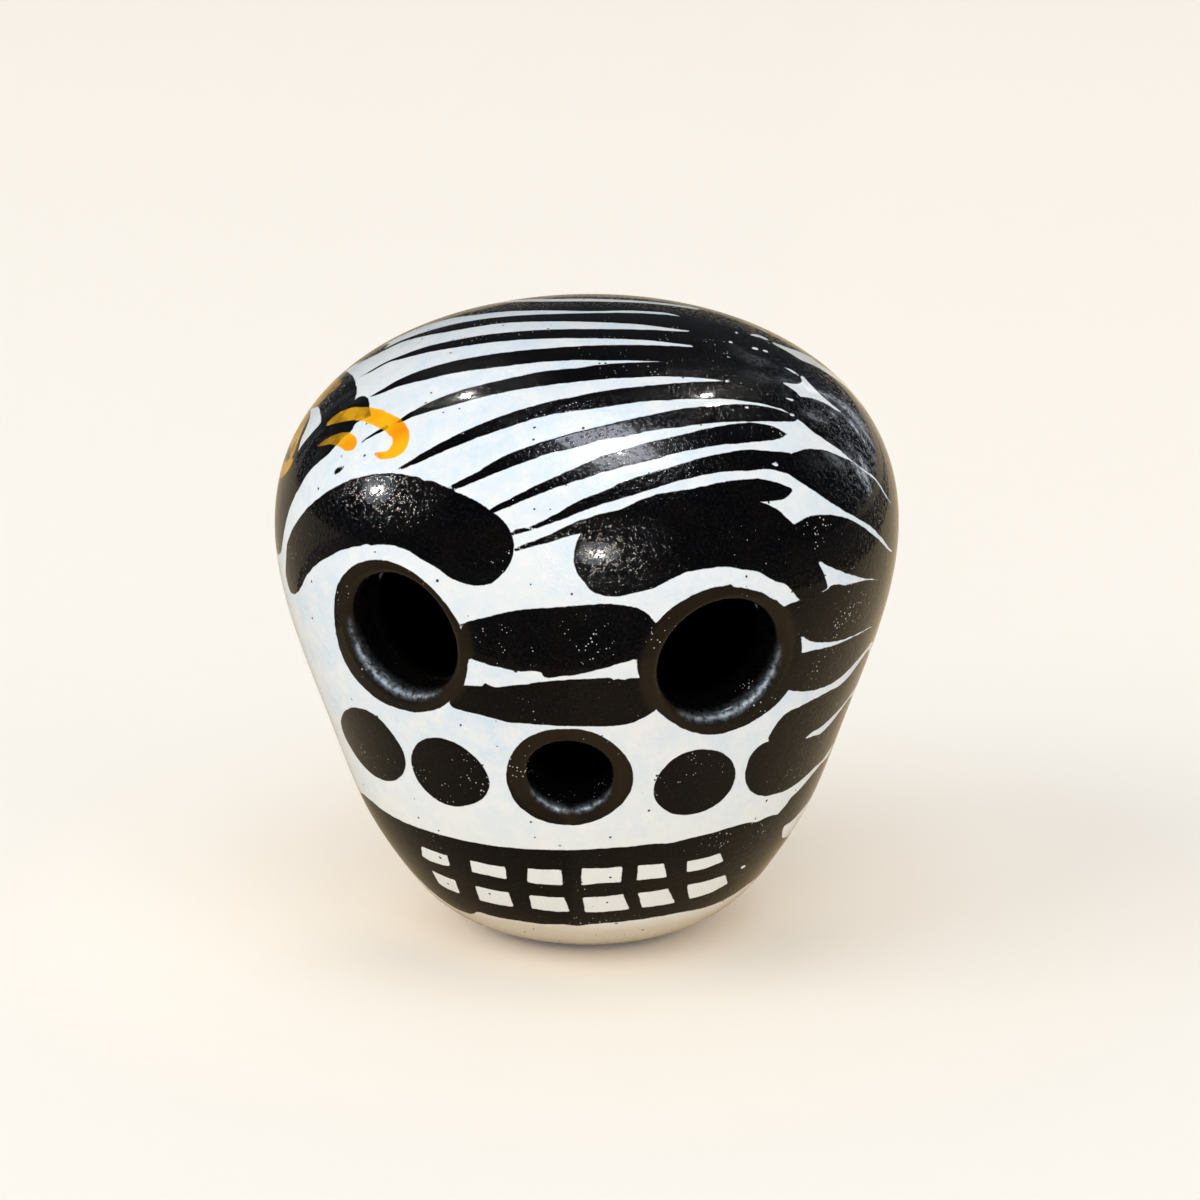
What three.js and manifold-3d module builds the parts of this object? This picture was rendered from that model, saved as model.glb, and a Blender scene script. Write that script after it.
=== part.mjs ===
// A small hollow skull of fired clay, the kind that is pressed in two halves, joined, painted by
// hand and glazed. It stands on a small flat foot. Units are millimetres, +Z is up and the face
// looks along -Y. The origin is under the middle of the skull, at the level of the foot.
import * as THREE from 'three';
import { mergeVertices } from 'three/addons/utils/BufferGeometryUtils.js';
import Module from 'manifold-3d';

const wasm = await Module();
wasm.setup();

// Outside form: radius of the level ring at each height, from the foot up to the widest ring.
const footRadius = 8.8;
const heelRadius = 11.3;
const heelHeight = 0.8;
const chinRadius = 16.9;
const chinHeight = 4.4;
const mouthRadius = 19.7;
const mouthHeight = 8;
const jawRadius = 22.7;
const jawHeight = 13;
const noseRingRadius = 26.3;
const noseRingHeight = 22.3;
const cheekRadius = 29.6;
const cheekHeight = 31.8;
const widestRadius = 31.5;
const widestHeight = 42;

// The dome over the widest ring is a superellipse, a little fuller than an ellipse.
const skullHeight = 64;
const domeExponent = 2.25;

// The back of the head stands out further than the face, by this much at the widest ring.
const backBulge = 3.8;

// Clay wall, the gap between pieces that touch, and the overrun of a cut past a face.
const wall = 5;
const joinGap = 0.3;
const cutOverrun = 2;

// Eye and nose holes: longitude is turned from the middle of the face, positive towards +X.
const leftEye = { longitude: -30, height: 37.4, radius: 6.2, lipRound: 1.3 };
const rightEye = { longitude: 31, height: 35.7, radius: 6.2, lipRound: 1.3 };
const noseHole = { longitude: 2.3, height: 23.8, radius: 4.1, lipRound: 1 };

// Strip of soft clay pressed along the inside of the join.
const stripWidth = 8;
const stripThickness = 1.6;

// Number of facets, which sets only how finely the curves are drawn.
const aroundCount = 60;
const flankSteps = 13;
const domeSteps = 10;
const holeSides = 32;
const lipSteps = 3;

const faceClay = new THREE.MeshStandardMaterial({ color: 0xe9edf2, roughness: 0.12, metalness: 0 });
const backClay = new THREE.MeshStandardMaterial({ color: 0xe4e8ee, roughness: 0.12, metalness: 0 });
const bareClay = new THREE.MeshStandardMaterial({ color: 0xb0643c, roughness: 0.85, metalness: 0 });

// Profile of the outside, as points with x for the radius and y for the height.
function outsideProfile() {
  const stations = [
    [footRadius, 0], [heelRadius, heelHeight], [chinRadius, chinHeight], [mouthRadius, mouthHeight],
    [jawRadius, jawHeight], [noseRingRadius, noseRingHeight], [cheekRadius, cheekHeight],
    [widestRadius, widestHeight],
  ];
  const flank = new THREE.CatmullRomCurve3(
    stations.map(([radius, height]) => new THREE.Vector3(radius, height, 0)), false, 'centripetal');
  const points = flank.getSpacedPoints(flankSteps).map((p) => new THREE.Vector2(p.x, p.y));
  const domeRise = skullHeight - widestHeight;
  for (let step = 1; step < domeSteps; step += 1) {
    const turn = (Math.PI / 2) * (step / domeSteps);
    points.push(new THREE.Vector2(
      widestRadius * Math.cos(turn) ** (2 / domeExponent),
      widestHeight + domeRise * Math.sin(turn) ** (2 / domeExponent)));
  }
  return points;
}

// The same profile moved inwards, square to itself, and closed on the axis at both ends.
function insetProfile(inset) {
  const outside = outsideProfile();
  const moved = outside.map((point, index) => {
    const before = outside[Math.max(index - 1, 0)];
    const after = outside[Math.min(index + 1, outside.length - 1)];
    const along = after.clone().sub(before).normalize();
    return new THREE.Vector2(point.x - along.y * inset, point.y + along.x * inset);
  });
  const floor = inset;
  const ceiling = skullHeight - inset;
  const kept = moved.filter((point) => point.x > 0 && point.y >= floor && point.y < ceiling);
  return [new THREE.Vector2(0, floor), ...kept, new THREE.Vector2(0, ceiling)];
}

// How far a point of a ring of the given radius is drawn back, so that the back stands out.
function drawnBack(y, radius) {
  const stretchShare = backBulge / widestRadius;
  return radius > 0 ? y * (1 + stretchShare * (1 + y / radius) / 2) : y;
}

// Outside radius at a height, read from the profile.
const outsidePoints = outsideProfile();
function radiusAt(height) {
  const index = outsidePoints.findIndex((point) => point.y >= height);
  const upper = outsidePoints[index];
  const lower = outsidePoints[index - 1];
  const share = (height - lower.y) / (upper.y - lower.y);
  return lower.x + share * (upper.x - lower.x);
}

// A point on the front of the outside at a longitude and a height.
function pointOnFace(longitude, height) {
  const turn = THREE.MathUtils.degToRad(longitude);
  const radius = radiusAt(height);
  const y = drawnBack(-radius * Math.cos(turn), radius);
  return new THREE.Vector3(radius * Math.sin(turn), y, height);
}

function frontDepth(x, height) {
  const radius = radiusAt(height);
  return drawnBack(-Math.sqrt(radius * radius - x * x), radius);
}

function solidFrom(geometry) {
  const bare = geometry.index ? geometry.toNonIndexed() : geometry.clone();
  bare.deleteAttribute('normal');
  bare.deleteAttribute('uv');
  const merged = mergeVertices(bare);
  return new wasm.Manifold(new wasm.Mesh({
    numProp: 3,
    vertProperties: new Float32Array(merged.attributes.position.array),
    triVerts: new Uint32Array(merged.index.array),
  }));
}

function meshFrom(name, solid, material) {
  const { vertProperties, triVerts } = solid.getMesh();
  const geometry = new THREE.BufferGeometry();
  geometry.setAttribute('position', new THREE.BufferAttribute(new Float32Array(vertProperties), 3));
  geometry.setIndex(new THREE.BufferAttribute(new Uint32Array(triVerts), 1));
  geometry.computeVertexNormals();
  const mesh = new THREE.Mesh(geometry, material);
  mesh.name = name;
  return mesh;
}

// The whole head as one closed form, moved inwards from the outside by the inset.
function headForm(inset) {
  const lathe = new THREE.LatheGeometry(insetProfile(inset), aroundCount);
  lathe.rotateX(Math.PI / 2);
  const position = lathe.attributes.position;
  for (let index = 0; index < position.count; index += 1) {
    const x = position.getX(index);
    const y = position.getY(index);
    position.setY(index, drawnBack(y, Math.hypot(x, y)));
  }
  return solidFrom(lathe);
}

// The tool that punches a hole along the surface's normal. Its mouth flares with the lip's round,
// measured at every point from the curved outside, so that the lip is even all the way round.
function holePunch({ longitude, height, radius, lipRound }) {
  const centre = pointOnFace(longitude, height);
  const sideways = pointOnFace(longitude + 1, height).sub(pointOnFace(longitude - 1, height)).normalize();
  const upwards = pointOnFace(longitude, height + joinGap).sub(pointOnFace(longitude, height - joinGap));
  const outwards = sideways.clone().cross(upwards).normalize();
  const upright = outwards.clone().cross(sideways).normalize();
  const reach = radius + lipRound + wall;

  const levelAt = (point) => {
    let low = -reach;
    let high = reach;
    for (let round = 0; round < 30; round += 1) {
      const middle = (low + high) / 2;
      const trial = point.clone().addScaledVector(outwards, middle);
      if (trial.y > frontDepth(trial.x, trial.z)) low = middle;
      else high = middle;
    }
    return low;
  };

  const rings = [[radius + lipRound, -cutOverrun]];
  for (let step = 0; step <= lipSteps; step += 1) {
    const turn = (Math.PI / 2) * (step / lipSteps);
    rings.push([radius + lipRound * (1 - Math.sin(turn)), lipRound * (1 - Math.cos(turn))]);
  }
  rings.push([radius, wall + radius]);

  const vertices = [];
  for (const [ringRadius, depth] of rings) {
    for (let side = 0; side < holeSides; side += 1) {
      const turn = 2 * Math.PI * (side / holeSides);
      const flat = centre.clone()
        .addScaledVector(sideways, ringRadius * Math.cos(turn))
        .addScaledVector(upright, ringRadius * Math.sin(turn));
      const level = levelAt(flat);
      vertices.push(flat.addScaledVector(outwards, level - depth));
    }
  }
  const mouth = vertices.push(centre.clone().addScaledVector(outwards, cutOverrun)) - 1;
  const end = vertices.push(centre.clone().addScaledVector(outwards, -wall - radius)) - 1;
  const faces = [];
  const lastRing = (rings.length - 1) * holeSides;
  for (let side = 0; side < holeSides; side += 1) {
    const next = (side + 1) % holeSides;
    faces.push(mouth, side, next, end, lastRing + next, lastRing + side);
    for (let ring = 0; ring < rings.length - 1; ring += 1) {
      const near = ring * holeSides;
      const far = near + holeSides;
      faces.push(near + side, far + side, far + next, near + side, far + next, near + next);
    }
  }
  const geometry = new THREE.BufferGeometry();
  geometry.setAttribute('position', new THREE.Float32BufferAttribute(vertices.flatMap((v) => v.toArray()), 3));
  geometry.setIndex(faces);
  return solidFrom(geometry);
}

// A block that holds everything between two depths of the head.
function slab(nearY, farY) {
  const width = 2 * (widestRadius + cutOverrun);
  const block = new THREE.BoxGeometry(width, farY - nearY, skullHeight + 2 * cutOverrun);
  block.translate(0, (nearY + farY) / 2, skullHeight / 2);
  return solidFrom(block);
}

const headDepth = widestRadius + backBulge + cutOverrun;
const frontSlab = slab(-headDepth, -joinGap / 2);
const backSlab = slab(joinGap / 2, headDepth);

let shell = headForm(0).subtract(headForm(wall));
for (const hole of [leftEye, rightEye, noseHole]) {
  shell = shell.subtract(holePunch(hole));
}
const joinStrip = headForm(wall + joinGap)
  .subtract(headForm(wall + joinGap + stripThickness))
  .intersect(slab(-stripWidth / 2, stripWidth / 2));

const skull = new THREE.Group();
skull.add(meshFrom('face_shell', shell.intersect(frontSlab), faceClay));
skull.add(meshFrom('back_shell', shell.intersect(backSlab), backClay));
skull.add(meshFrom('join_strip', joinStrip, bareClay));

// The widest ring is centred over the origin, so the head stands evenly about it.
skull.position.y = -backBulge / 2;

export default skull;
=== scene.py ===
# %% [markdown]
# # A small painted skull of glazed clay
# The real thing is a hollow skull, pressed from clay in two halves, joined along the temples,
# brushed with white, black and ochre glaze and fired until it shines like glass. It stands on a
# small flat foot and is about as high as an egg cup. The packed model gives the solids and their
# exact size. This lesson dresses them: a finer skin for both halves, the brushwork, the glaze,
# and a plain studio to look at it in. Everything is in metres, because the packed model is.

import math

import bmesh
import bpy
import numpy as np
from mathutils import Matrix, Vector


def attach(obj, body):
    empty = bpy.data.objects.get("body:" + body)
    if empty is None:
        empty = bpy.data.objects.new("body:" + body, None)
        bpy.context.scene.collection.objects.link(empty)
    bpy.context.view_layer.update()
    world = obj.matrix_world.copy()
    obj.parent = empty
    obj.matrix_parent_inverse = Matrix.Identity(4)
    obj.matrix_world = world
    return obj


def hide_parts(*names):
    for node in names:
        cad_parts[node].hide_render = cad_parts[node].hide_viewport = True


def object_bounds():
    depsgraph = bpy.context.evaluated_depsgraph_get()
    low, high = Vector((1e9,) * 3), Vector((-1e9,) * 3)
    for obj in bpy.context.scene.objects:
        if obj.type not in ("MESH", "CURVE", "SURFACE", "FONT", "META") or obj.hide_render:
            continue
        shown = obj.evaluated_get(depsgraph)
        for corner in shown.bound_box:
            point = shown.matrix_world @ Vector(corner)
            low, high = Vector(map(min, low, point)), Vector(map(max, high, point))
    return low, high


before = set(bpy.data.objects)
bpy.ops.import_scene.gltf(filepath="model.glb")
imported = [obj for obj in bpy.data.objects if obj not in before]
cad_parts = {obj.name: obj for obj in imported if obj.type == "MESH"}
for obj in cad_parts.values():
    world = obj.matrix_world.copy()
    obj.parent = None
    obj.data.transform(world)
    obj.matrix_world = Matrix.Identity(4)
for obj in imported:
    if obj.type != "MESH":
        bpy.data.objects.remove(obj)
cad_low, cad_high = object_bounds()
print("nodes:", sorted(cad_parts))
print("packed box in mm:", [round(v * 1000, 2) for v in (*cad_low, *cad_high)])

# %% [markdown]
# ## The outside form
# The head is nearly a turned form: a level ring at each height, from the small foot to the widest
# ring and over a dome. Only the back of the head stands out further than the face. So the form is
# written once, as a profile of radius against height plus that bulge, and every later step asks
# this form where the skin is. A smooth curve through the measured rings keeps the curvature even,
# which matters on a glazed piece, because a reflection shows every kink.

# %% Profile of the outside, in millimetres
MM = 0.001
skull_height = cad_high.z / MM
widest_radius = cad_high.x / MM
widest_height = 42.0
dome_exponent = 2.25
back_bulge = 3.8
axis_y = -back_bulge / 2
wall = 5.0
centre_height = 32.0
head_centre = np.array([0.0, axis_y, centre_height])
profile_samples = 4001

ring_stations = [
    (8.8, 0.0), (11.3, 0.8), (16.9, 4.4), (19.7, 8.0), (22.7, 13.0), (26.3, 22.3), (29.6, 31.8),
    (widest_radius, widest_height),
]
dome_turns = np.radians([15, 30, 45, 60, 75, 90])
dome_power = 2 / dome_exponent
dome_radii = widest_radius * np.cos(dome_turns) ** dome_power
dome_heights = widest_height + (skull_height - widest_height) * np.sin(dome_turns) ** dome_power
stations = np.vstack([ring_stations, np.stack([dome_radii, dome_heights], 1)])


def natural_curve(points, count):
    """A natural cubic curve through the points, returned as count evenly timed points."""
    steps = np.linalg.norm(np.diff(points, axis=0), axis=1)
    times = np.concatenate([[0.0], np.cumsum(steps)])
    size = len(points)
    system = np.eye(size)
    target = np.zeros_like(points)
    for index in range(1, size - 1):
        before = steps[index - 1]
        after = steps[index]
        system[index, index - 1:index + 2] = before, 2 * (before + after), after
        rise = (points[index + 1] - points[index]) / after
        target[index] = 6 * (rise - (points[index] - points[index - 1]) / before)
    bends = np.linalg.solve(system, target)
    asked = np.linspace(0.0, times[-1], count)
    spans = np.clip(np.searchsorted(times, asked, side="right") - 1, 0, size - 2)
    length = steps[spans][:, None]
    done = (asked - times[spans])[:, None]
    left = length - done
    curve = (bends[spans] * left ** 3 + bends[spans + 1] * done ** 3) / (6 * length)
    curve += (points[spans] / length - bends[spans] * length / 6) * left
    curve += (points[spans + 1] / length - bends[spans + 1] * length / 6) * done
    return curve


def unit(vectors):
    """The same directions at length 1."""
    return vectors / np.linalg.norm(vectors, axis=-1, keepdims=True)


mirrored = stations[::-1][1:] * np.array([-1.0, 1.0])
whole_curve = natural_curve(np.vstack([stations, mirrored]), 2 * profile_samples - 1)
outer_profile = whole_curve[:profile_samples]
outer_profile[:, 1] = np.clip(np.maximum.accumulate(outer_profile[:, 1]), 0.0, skull_height)
outer_profile[:, 0] = np.clip(outer_profile[:, 0], 0.0, widest_radius)

along = unit(np.gradient(whole_curve, axis=0)[:profile_samples])
inner_profile = outer_profile + wall * np.stack([-along[:, 1], along[:, 0]], 1)
inside = (inner_profile[:, 0] > 0) & (inner_profile[:, 1] > wall)
inner_profile = inner_profile[inside]
inner_profile = inner_profile[np.argsort(inner_profile[:, 1])]
print("widest ring", round(outer_profile[:, 0].max(), 3), "mm, top", outer_profile[-1])

# %% Ask the form how far outside it a point stands
bulge_share = back_bulge / widest_radius


def over_form(points, profile, floor, ceiling):
    """Millimetres by which points stand outside the form, level by level."""
    height = np.clip(points[..., 2], floor, ceiling)
    radius = np.maximum(np.interp(height, profile[:, 1], profile[:, 0]), 1e-6)
    curve = bulge_share / (2 * radius)
    slope = 1 + bulge_share / 2
    drawn = points[..., 1] - axis_y
    root = np.sqrt(np.maximum(slope * slope + 4 * curve * drawn, 0.0))
    level = (root - slope) / (2 * curve)
    over = np.hypot(points[..., 0], level) - radius
    beyond = np.maximum(points[..., 2] - ceiling, floor - points[..., 2])
    return np.maximum(over, beyond)


def over_skin(points):
    return over_form(points, outer_profile, 0.0, skull_height)


def over_hollow(points):
    return over_form(points, inner_profile, wall, skull_height - wall)


print("middle of the head, mm outside the skin:", round(float(over_skin(head_centre)), 2))

# %% Ask the form where its skin is
halvings = 36
nearest_skin = 1.0
farthest_skin = 60.0
skin_step = 0.006


def meet(start, direction, over, near, far):
    """Points where rays from start cross from inside the form to its outside."""
    low = np.full(start.shape[:-1], near)
    high = np.full(start.shape[:-1], far)
    for _ in range(halvings):
        middle = (low + high) / 2
        outside = over(start + direction * middle[..., None]) > 0
        high = np.where(outside, middle, high)
        low = np.where(outside, low, middle)
    return start + direction * ((low + high) / 2)[..., None]


def onto(points, over=over_skin):
    """Points slid along their line from the middle of the head until they lie on the form."""
    direction = unit(points - head_centre)
    start = np.broadcast_to(head_centre, direction.shape)
    return meet(start, direction, over, nearest_skin, farthest_skin)


def skin_normals(points):
    """Outward directions of the skin, from how it runs a little to either side."""
    direction = unit(points - head_centre)
    helper = np.where(np.abs(direction[..., 2:]) < 0.7, [0.0, 0.0, 1.0], [1.0, 0.0, 0.0])
    first = unit(np.cross(helper, direction))
    second = np.cross(direction, first)
    runs = []
    for side in (first, second):
        ahead = onto(head_centre + direction + side * skin_step)
        behind = onto(head_centre + direction - side * skin_step)
        runs.append(ahead - behind)
    return unit(np.cross(*runs))


def on_side(longitude, height):
    """A skin point by its longitude, in degrees from the middle of the face, and its height."""
    turn = math.radians(longitude)
    radius = float(np.interp(height, outer_profile[:, 1], outer_profile[:, 0]))
    level = -radius * math.cos(turn)
    y = level * (1 + bulge_share * (1 + level / radius) / 2) + axis_y
    return np.array([radius * math.sin(turn), y, height])


print("skin in front of the middle:", np.round(onto(np.array([[0.0, -20.0, 32.0]])), 2))

# %% [markdown]
# ## The camera
# The camera comes before the painting, because the brushwork is placed on the photograph.
# It looks slightly down and a little from the skull's own left. A long lens from half a metre
# away keeps the form calm. The same numbers turn a place in the photograph into a place on the
# skin: a ray goes out through that spot of the 1200 by 1200 frame and stops at the form.

# %% Camera at the photograph's angle
frame_size = 1200
camera_turn = math.radians(6.0)
camera_rise = math.radians(16.0)
camera_distance = 450.0
focal_pixels = 4399.0
sensor_width = 36.0
look_point = np.array([0.0, 0.0, 32.0])
aim_right = 1.115
aim_up = 1.32

back = np.array([
    math.sin(camera_turn) * math.cos(camera_rise),
    -math.cos(camera_turn) * math.cos(camera_rise),
    math.sin(camera_rise),
])
level_right = np.array([math.cos(camera_turn), math.sin(camera_turn), 0.0])
level_up = np.cross(back, level_right)
eye = look_point + back * camera_distance
aim = look_point + level_right * aim_right + level_up * aim_up
forward = unit(aim - eye)
right = unit(np.cross(forward, [0.0, 0.0, 1.0]))
up = np.cross(right, forward)

bpy.ops.object.select_all(action="DESELECT")
bpy.ops.object.camera_add(location=Vector(eye * MM))
camera = bpy.context.object
camera.name = "camera"
camera.rotation_mode = "QUATERNION"
camera.rotation_quaternion = Vector(forward).to_track_quat("-Z", "Y")
camera.data.sensor_width = sensor_width
camera.data.lens = focal_pixels / frame_size * sensor_width
camera.data.clip_start = 0.01
camera.data.clip_end = 20.0
bpy.context.scene.camera = camera
print("lens in mm:", round(camera.data.lens, 2))

# %% From a spot of the photograph to the skin
search_reach = 50.0
search_steps = 801


def seen(spots):
    """Skin points under spots of the photograph. A spot just past the rim takes the rim."""
    spots = np.asarray(spots, float) - frame_size / 2
    aside = np.outer(spots[:, 0], right) - np.outer(spots[:, 1], up)
    ray = unit(forward + aside / focal_pixels)
    steps = camera_distance + np.linspace(-search_reach, search_reach, search_steps)
    trail = eye + ray[:, None, :] * steps[None, :, None]
    over = over_skin(trail)
    hit = over < 0
    first = np.where(hit.any(axis=1), hit.argmax(axis=1), over.argmin(axis=1))
    coarse = trail[np.arange(len(spots)), first]
    return onto(meet(coarse, -ray, over_skin, 0.0, 2 * (steps[1] - steps[0])))


print("nose hole lies at", np.round(seen([(569.5, 776.5)])[0], 1), "mm")

# %% [markdown]
# ## The two halves
# The real halves are thick clay pressed into a mould, with eye and nose holes cut through while
# the clay was leathery and their lips rubbed round with a wet finger. A turned surface would have
# a pole on the crown, where the glaze would pinch. So each skin starts as a cube whose faces are
# cut into a fine grid and blown up to a ball: it has no pole, and the cells stay nearly square.
# The vertices are then pushed out onto the form. The face gets more cells than the back, because
# the brushwork is stored on them.

# %% Short ways to handle one piece
def say_counts(piece, words):
    print(words, len(piece.data.vertices), "vertices,", len(piece.data.polygons), "faces")


def coordinates(piece):
    values = np.empty(len(piece.data.vertices) * 3, np.float32)
    piece.data.vertices.foreach_get("co", values)
    return values.reshape(-1, 3).astype(float) / MM


def place(piece, points):
    piece.data.vertices.foreach_set("co", (points * MM).astype(np.float32).ravel())
    piece.data.update()


def choose(piece, others=()):
    """Selects one piece, and others with it, and makes it the active one."""
    bpy.ops.object.select_all(action="DESELECT")
    for each in (*others, piece):
        each.select_set(True)
    bpy.context.view_layer.objects.active = piece


def edit(piece, mode=(True, False, False)):
    """Opens one piece alone in edit mode, with the given vertex, edge and face selection."""
    if bpy.context.mode != "OBJECT":
        bpy.ops.object.mode_set(mode="OBJECT")
    choose(piece)
    bpy.context.tool_settings.mesh_select_mode = mode
    bpy.ops.object.mode_set(mode="EDIT")


for name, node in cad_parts.items():
    say_counts(node, "packed " + name + ":")

# %% A fine ball, cut at the join and pushed onto the form
def blown_half(name, cuts, keep_front, over):
    """Half a gridded ball, its vertices lying on the form that over describes."""
    bpy.ops.object.select_all(action="DESELECT")
    bpy.ops.mesh.primitive_cube_add(size=2.0, location=(0.0, 0.0, 0.0))
    ball = bpy.context.object
    ball.name = name
    edit(ball)
    bpy.ops.mesh.select_all(action="SELECT")
    for cut in cuts:
        bpy.ops.mesh.subdivide(number_cuts=cut - 1)
    bpy.ops.object.mode_set(mode="OBJECT")
    grid = coordinates(ball) * MM
    spread = np.tan(grid * math.pi / 4)
    place(ball, spread / MM)
    edit(ball)
    bpy.ops.mesh.select_all(action="SELECT")
    bpy.ops.transform.tosphere(value=1.0)
    bpy.ops.mesh.bisect(
        plane_co=(0.0, 0.0, 0.0), plane_no=(0.0, 1.0, 0.0), threshold=1e-4,
        clear_outer=keep_front, clear_inner=not keep_front)
    bpy.ops.object.mode_set(mode="OBJECT")
    place(ball, onto(coordinates(ball) * MM + head_centre, over))
    return ball


face_cuts = (11, 16)
back_cuts = (8, 14)
hollow_cuts = (32,)
painted_face = blown_half("painted_face", face_cuts, True, over_skin)
painted_back = blown_half("painted_back", back_cuts, False, over_skin)
face_hollow = blown_half("face_hollow", hollow_cuts, True, over_hollow)
back_hollow = blown_half("back_hollow", hollow_cuts, False, over_hollow)
say_counts(painted_face, "face skin:")
say_counts(painted_back, "back skin:")

# %% [markdown]
# ## Eye and nose holes
# Each hole is a straight cut whose lip was rubbed round with a wet finger. The finger and the
# glaze that ran down left the lower lip broad and the upper lip almost sharp. So a collar is
# modelled for each hole: a circle is laid on the skin outside the lip and extruded ring by ring,
# first along the skin, then round the lip and straight through the wall to the hollow. The cells
# of both skins are opened under it, and the ragged gaps are filled. The stretch along the skin
# keeps those gaps away from the painted ring, whose edge follows the collar's even cells.

# %% Where the holes lie and how round their lips are
holes = {
    "left_eye": {"longitude": -30.0, "height": 37.4, "radius": 6.2, "sharpest": 60.0, "gap": 0.0},
    "right_eye": {"longitude": 31.0, "height": 35.7, "radius": 6.2, "sharpest": 120.0, "gap": 0.0},
    "nose": {"longitude": 2.3, "height": 23.8, "radius": 4.1, "sharpest": 90.0, "gap": 0.9},
}
sharp_share = 0.10
broad_share = 0.29
axis_reach = 12.0


def lip_at(angles, hole):
    """Rounding of the lip, least at its sharpest angle and most on the other side."""
    middle = (sharp_share + broad_share) / 2
    swing = (broad_share - sharp_share) / 2
    return hole["radius"] * (middle - swing * np.cos(angles - math.radians(hole["sharpest"])))


def mouth_reach(hole):
    return hole["radius"] * (1 + broad_share)


def hole_axes(hole):
    """Middle of the hole on the skin, with its sideways, upward and outward directions."""
    middle = on_side(hole["longitude"], hole["height"])
    outwards = skin_normals(middle[None])[0]
    sideways = unit(np.cross([0.0, 0.0, 1.0], outwards))
    return middle, sideways, np.cross(outwards, sideways), outwards


def off_axis(points, axes):
    """How far points are from the hole's axis, and how far out along it."""
    middle, sideways, upright, outwards = axes
    flat = points - middle
    return np.hypot(flat @ sideways, flat @ upright), flat @ outwards


def angles_round(points, axes):
    flat = points - axes[0]
    return np.arctan2(flat @ axes[2], flat @ axes[1])


def ring_points(angles, radius, axes, over=over_skin):
    """Points of a ring round the hole's axis where it meets the form."""
    middle, sideways, upright, outwards = axes
    flat = np.outer(radius * np.cos(angles), sideways) + np.outer(radius * np.sin(angles), upright)
    start = middle + flat - outwards * axis_reach
    return meet(start, np.broadcast_to(outwards, start.shape), over, 0.0, 2 * axis_reach)


for name, hole in holes.items():
    print(name, "lies at", np.round(hole_axes(hole)[0], 1), "mm")

# %% Collars that line the holes
hole_sides = 128
apron_steps = 4
apron_width = 0.9
lip_steps = 8
tunnel_steps = 5


def move_chosen(piece, axes, placing, share):
    """In edit mode, moves the selected ring to where placing puts each of its angles."""
    data = bmesh.from_edit_mesh(piece.data)
    chosen = [vertex for vertex in data.verts if vertex.select]
    angles = angles_round(np.array([vertex.co for vertex in chosen]) / MM, axes)
    for vertex, point in zip(chosen, placing(angles, share)):
        vertex.co = Vector(point * MM)
    bmesh.update_edit_mesh(piece.data)


def turn_faces(piece):
    edit(piece, (False, False, True))
    bpy.ops.mesh.select_all(action="SELECT")
    bpy.ops.mesh.flip_normals()
    bpy.ops.object.mode_set(mode="OBJECT")


def face_inwards(collar, axes):
    """Turns the collar's faces so that they look at the hole's axis."""
    face = collar.data.polygons[len(collar.data.polygons) // 2]
    towards = Vector(axes[0]) * MM - face.center
    towards -= Vector(axes[3]) * towards.dot(Vector(axes[3]))
    if face.normal.dot(towards) < 0:
        turn_faces(collar)


def make_collar(name, hole):
    """Extrudes a circle ring by ring. Each kind of ring is placed by a share of its own way."""
    axes = hole_axes(hole)
    inner = hole["radius"]

    def on_apron(angles, share):
        start = mouth_reach(hole) + apron_width
        end = inner + lip_at(angles, hole)
        return ring_points(angles, start + (end - start) * share, axes)

    def round_lip(angles, share):
        turn = math.pi / 2 * share
        lip = lip_at(angles, hole)
        sunk = np.outer(lip * (1 - math.cos(turn)), axes[3])
        return ring_points(angles, inner + lip * (1 - math.sin(turn)), axes) - sunk

    def down_tunnel(angles, share):
        sunk = np.outer(lip_at(angles, hole), axes[3])
        lip_end = ring_points(angles, inner, axes) - sunk
        return lip_end * (1 - share) + ring_points(angles, inner, axes, over_hollow) * share

    rings = [(on_apron, step / apron_steps) for step in range(apron_steps)]
    rings += [(round_lip, step / lip_steps) for step in range(lip_steps + 1)]
    rings += [(down_tunnel, step / tunnel_steps) for step in range(1, tunnel_steps + 1)]
    facing = Vector(axes[3]).to_track_quat("Z", "Y").to_euler()
    bpy.ops.object.select_all(action="DESELECT")
    bpy.ops.mesh.primitive_circle_add(
        vertices=hole_sides, radius=inner * MM, location=Vector(axes[0] * MM), rotation=facing)
    bpy.ops.object.transform_apply(location=True, rotation=True, scale=True)
    collar = bpy.context.object
    collar.name = name
    edit(collar)
    bpy.ops.mesh.select_all(action="SELECT")
    for number, (placing, share) in enumerate(rings):
        if number > 0:
            bpy.ops.mesh.extrude_region_move()
        move_chosen(collar, axes, placing, share)
    bpy.ops.object.mode_set(mode="OBJECT")
    face_inwards(collar, axes)
    say_counts(collar, name + ":")
    return collar


collars = [make_collar(name + "_collar", hole) for name, hole in holes.items()]

# %% Open both skins under the collars
skin_margin = 0.35
hollow_margin = 1.3


def open_cells(piece, axes, radius):
    """Deletes the cells that come closer to the hole's axis than the radius."""
    off, out = off_axis(coordinates(piece), axes)
    close = (off < radius) & (np.abs(out) < axis_reach)
    edit(piece, (False, False, True))
    bpy.ops.mesh.select_all(action="DESELECT")
    data = bmesh.from_edit_mesh(piece.data)
    for face in data.faces:
        if any(close[vertex.index] for vertex in face.verts):
            face.select_set(True)
    bmesh.update_edit_mesh(piece.data)
    bpy.ops.mesh.delete(type="FACE")
    bpy.ops.object.mode_set(mode="OBJECT")


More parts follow.
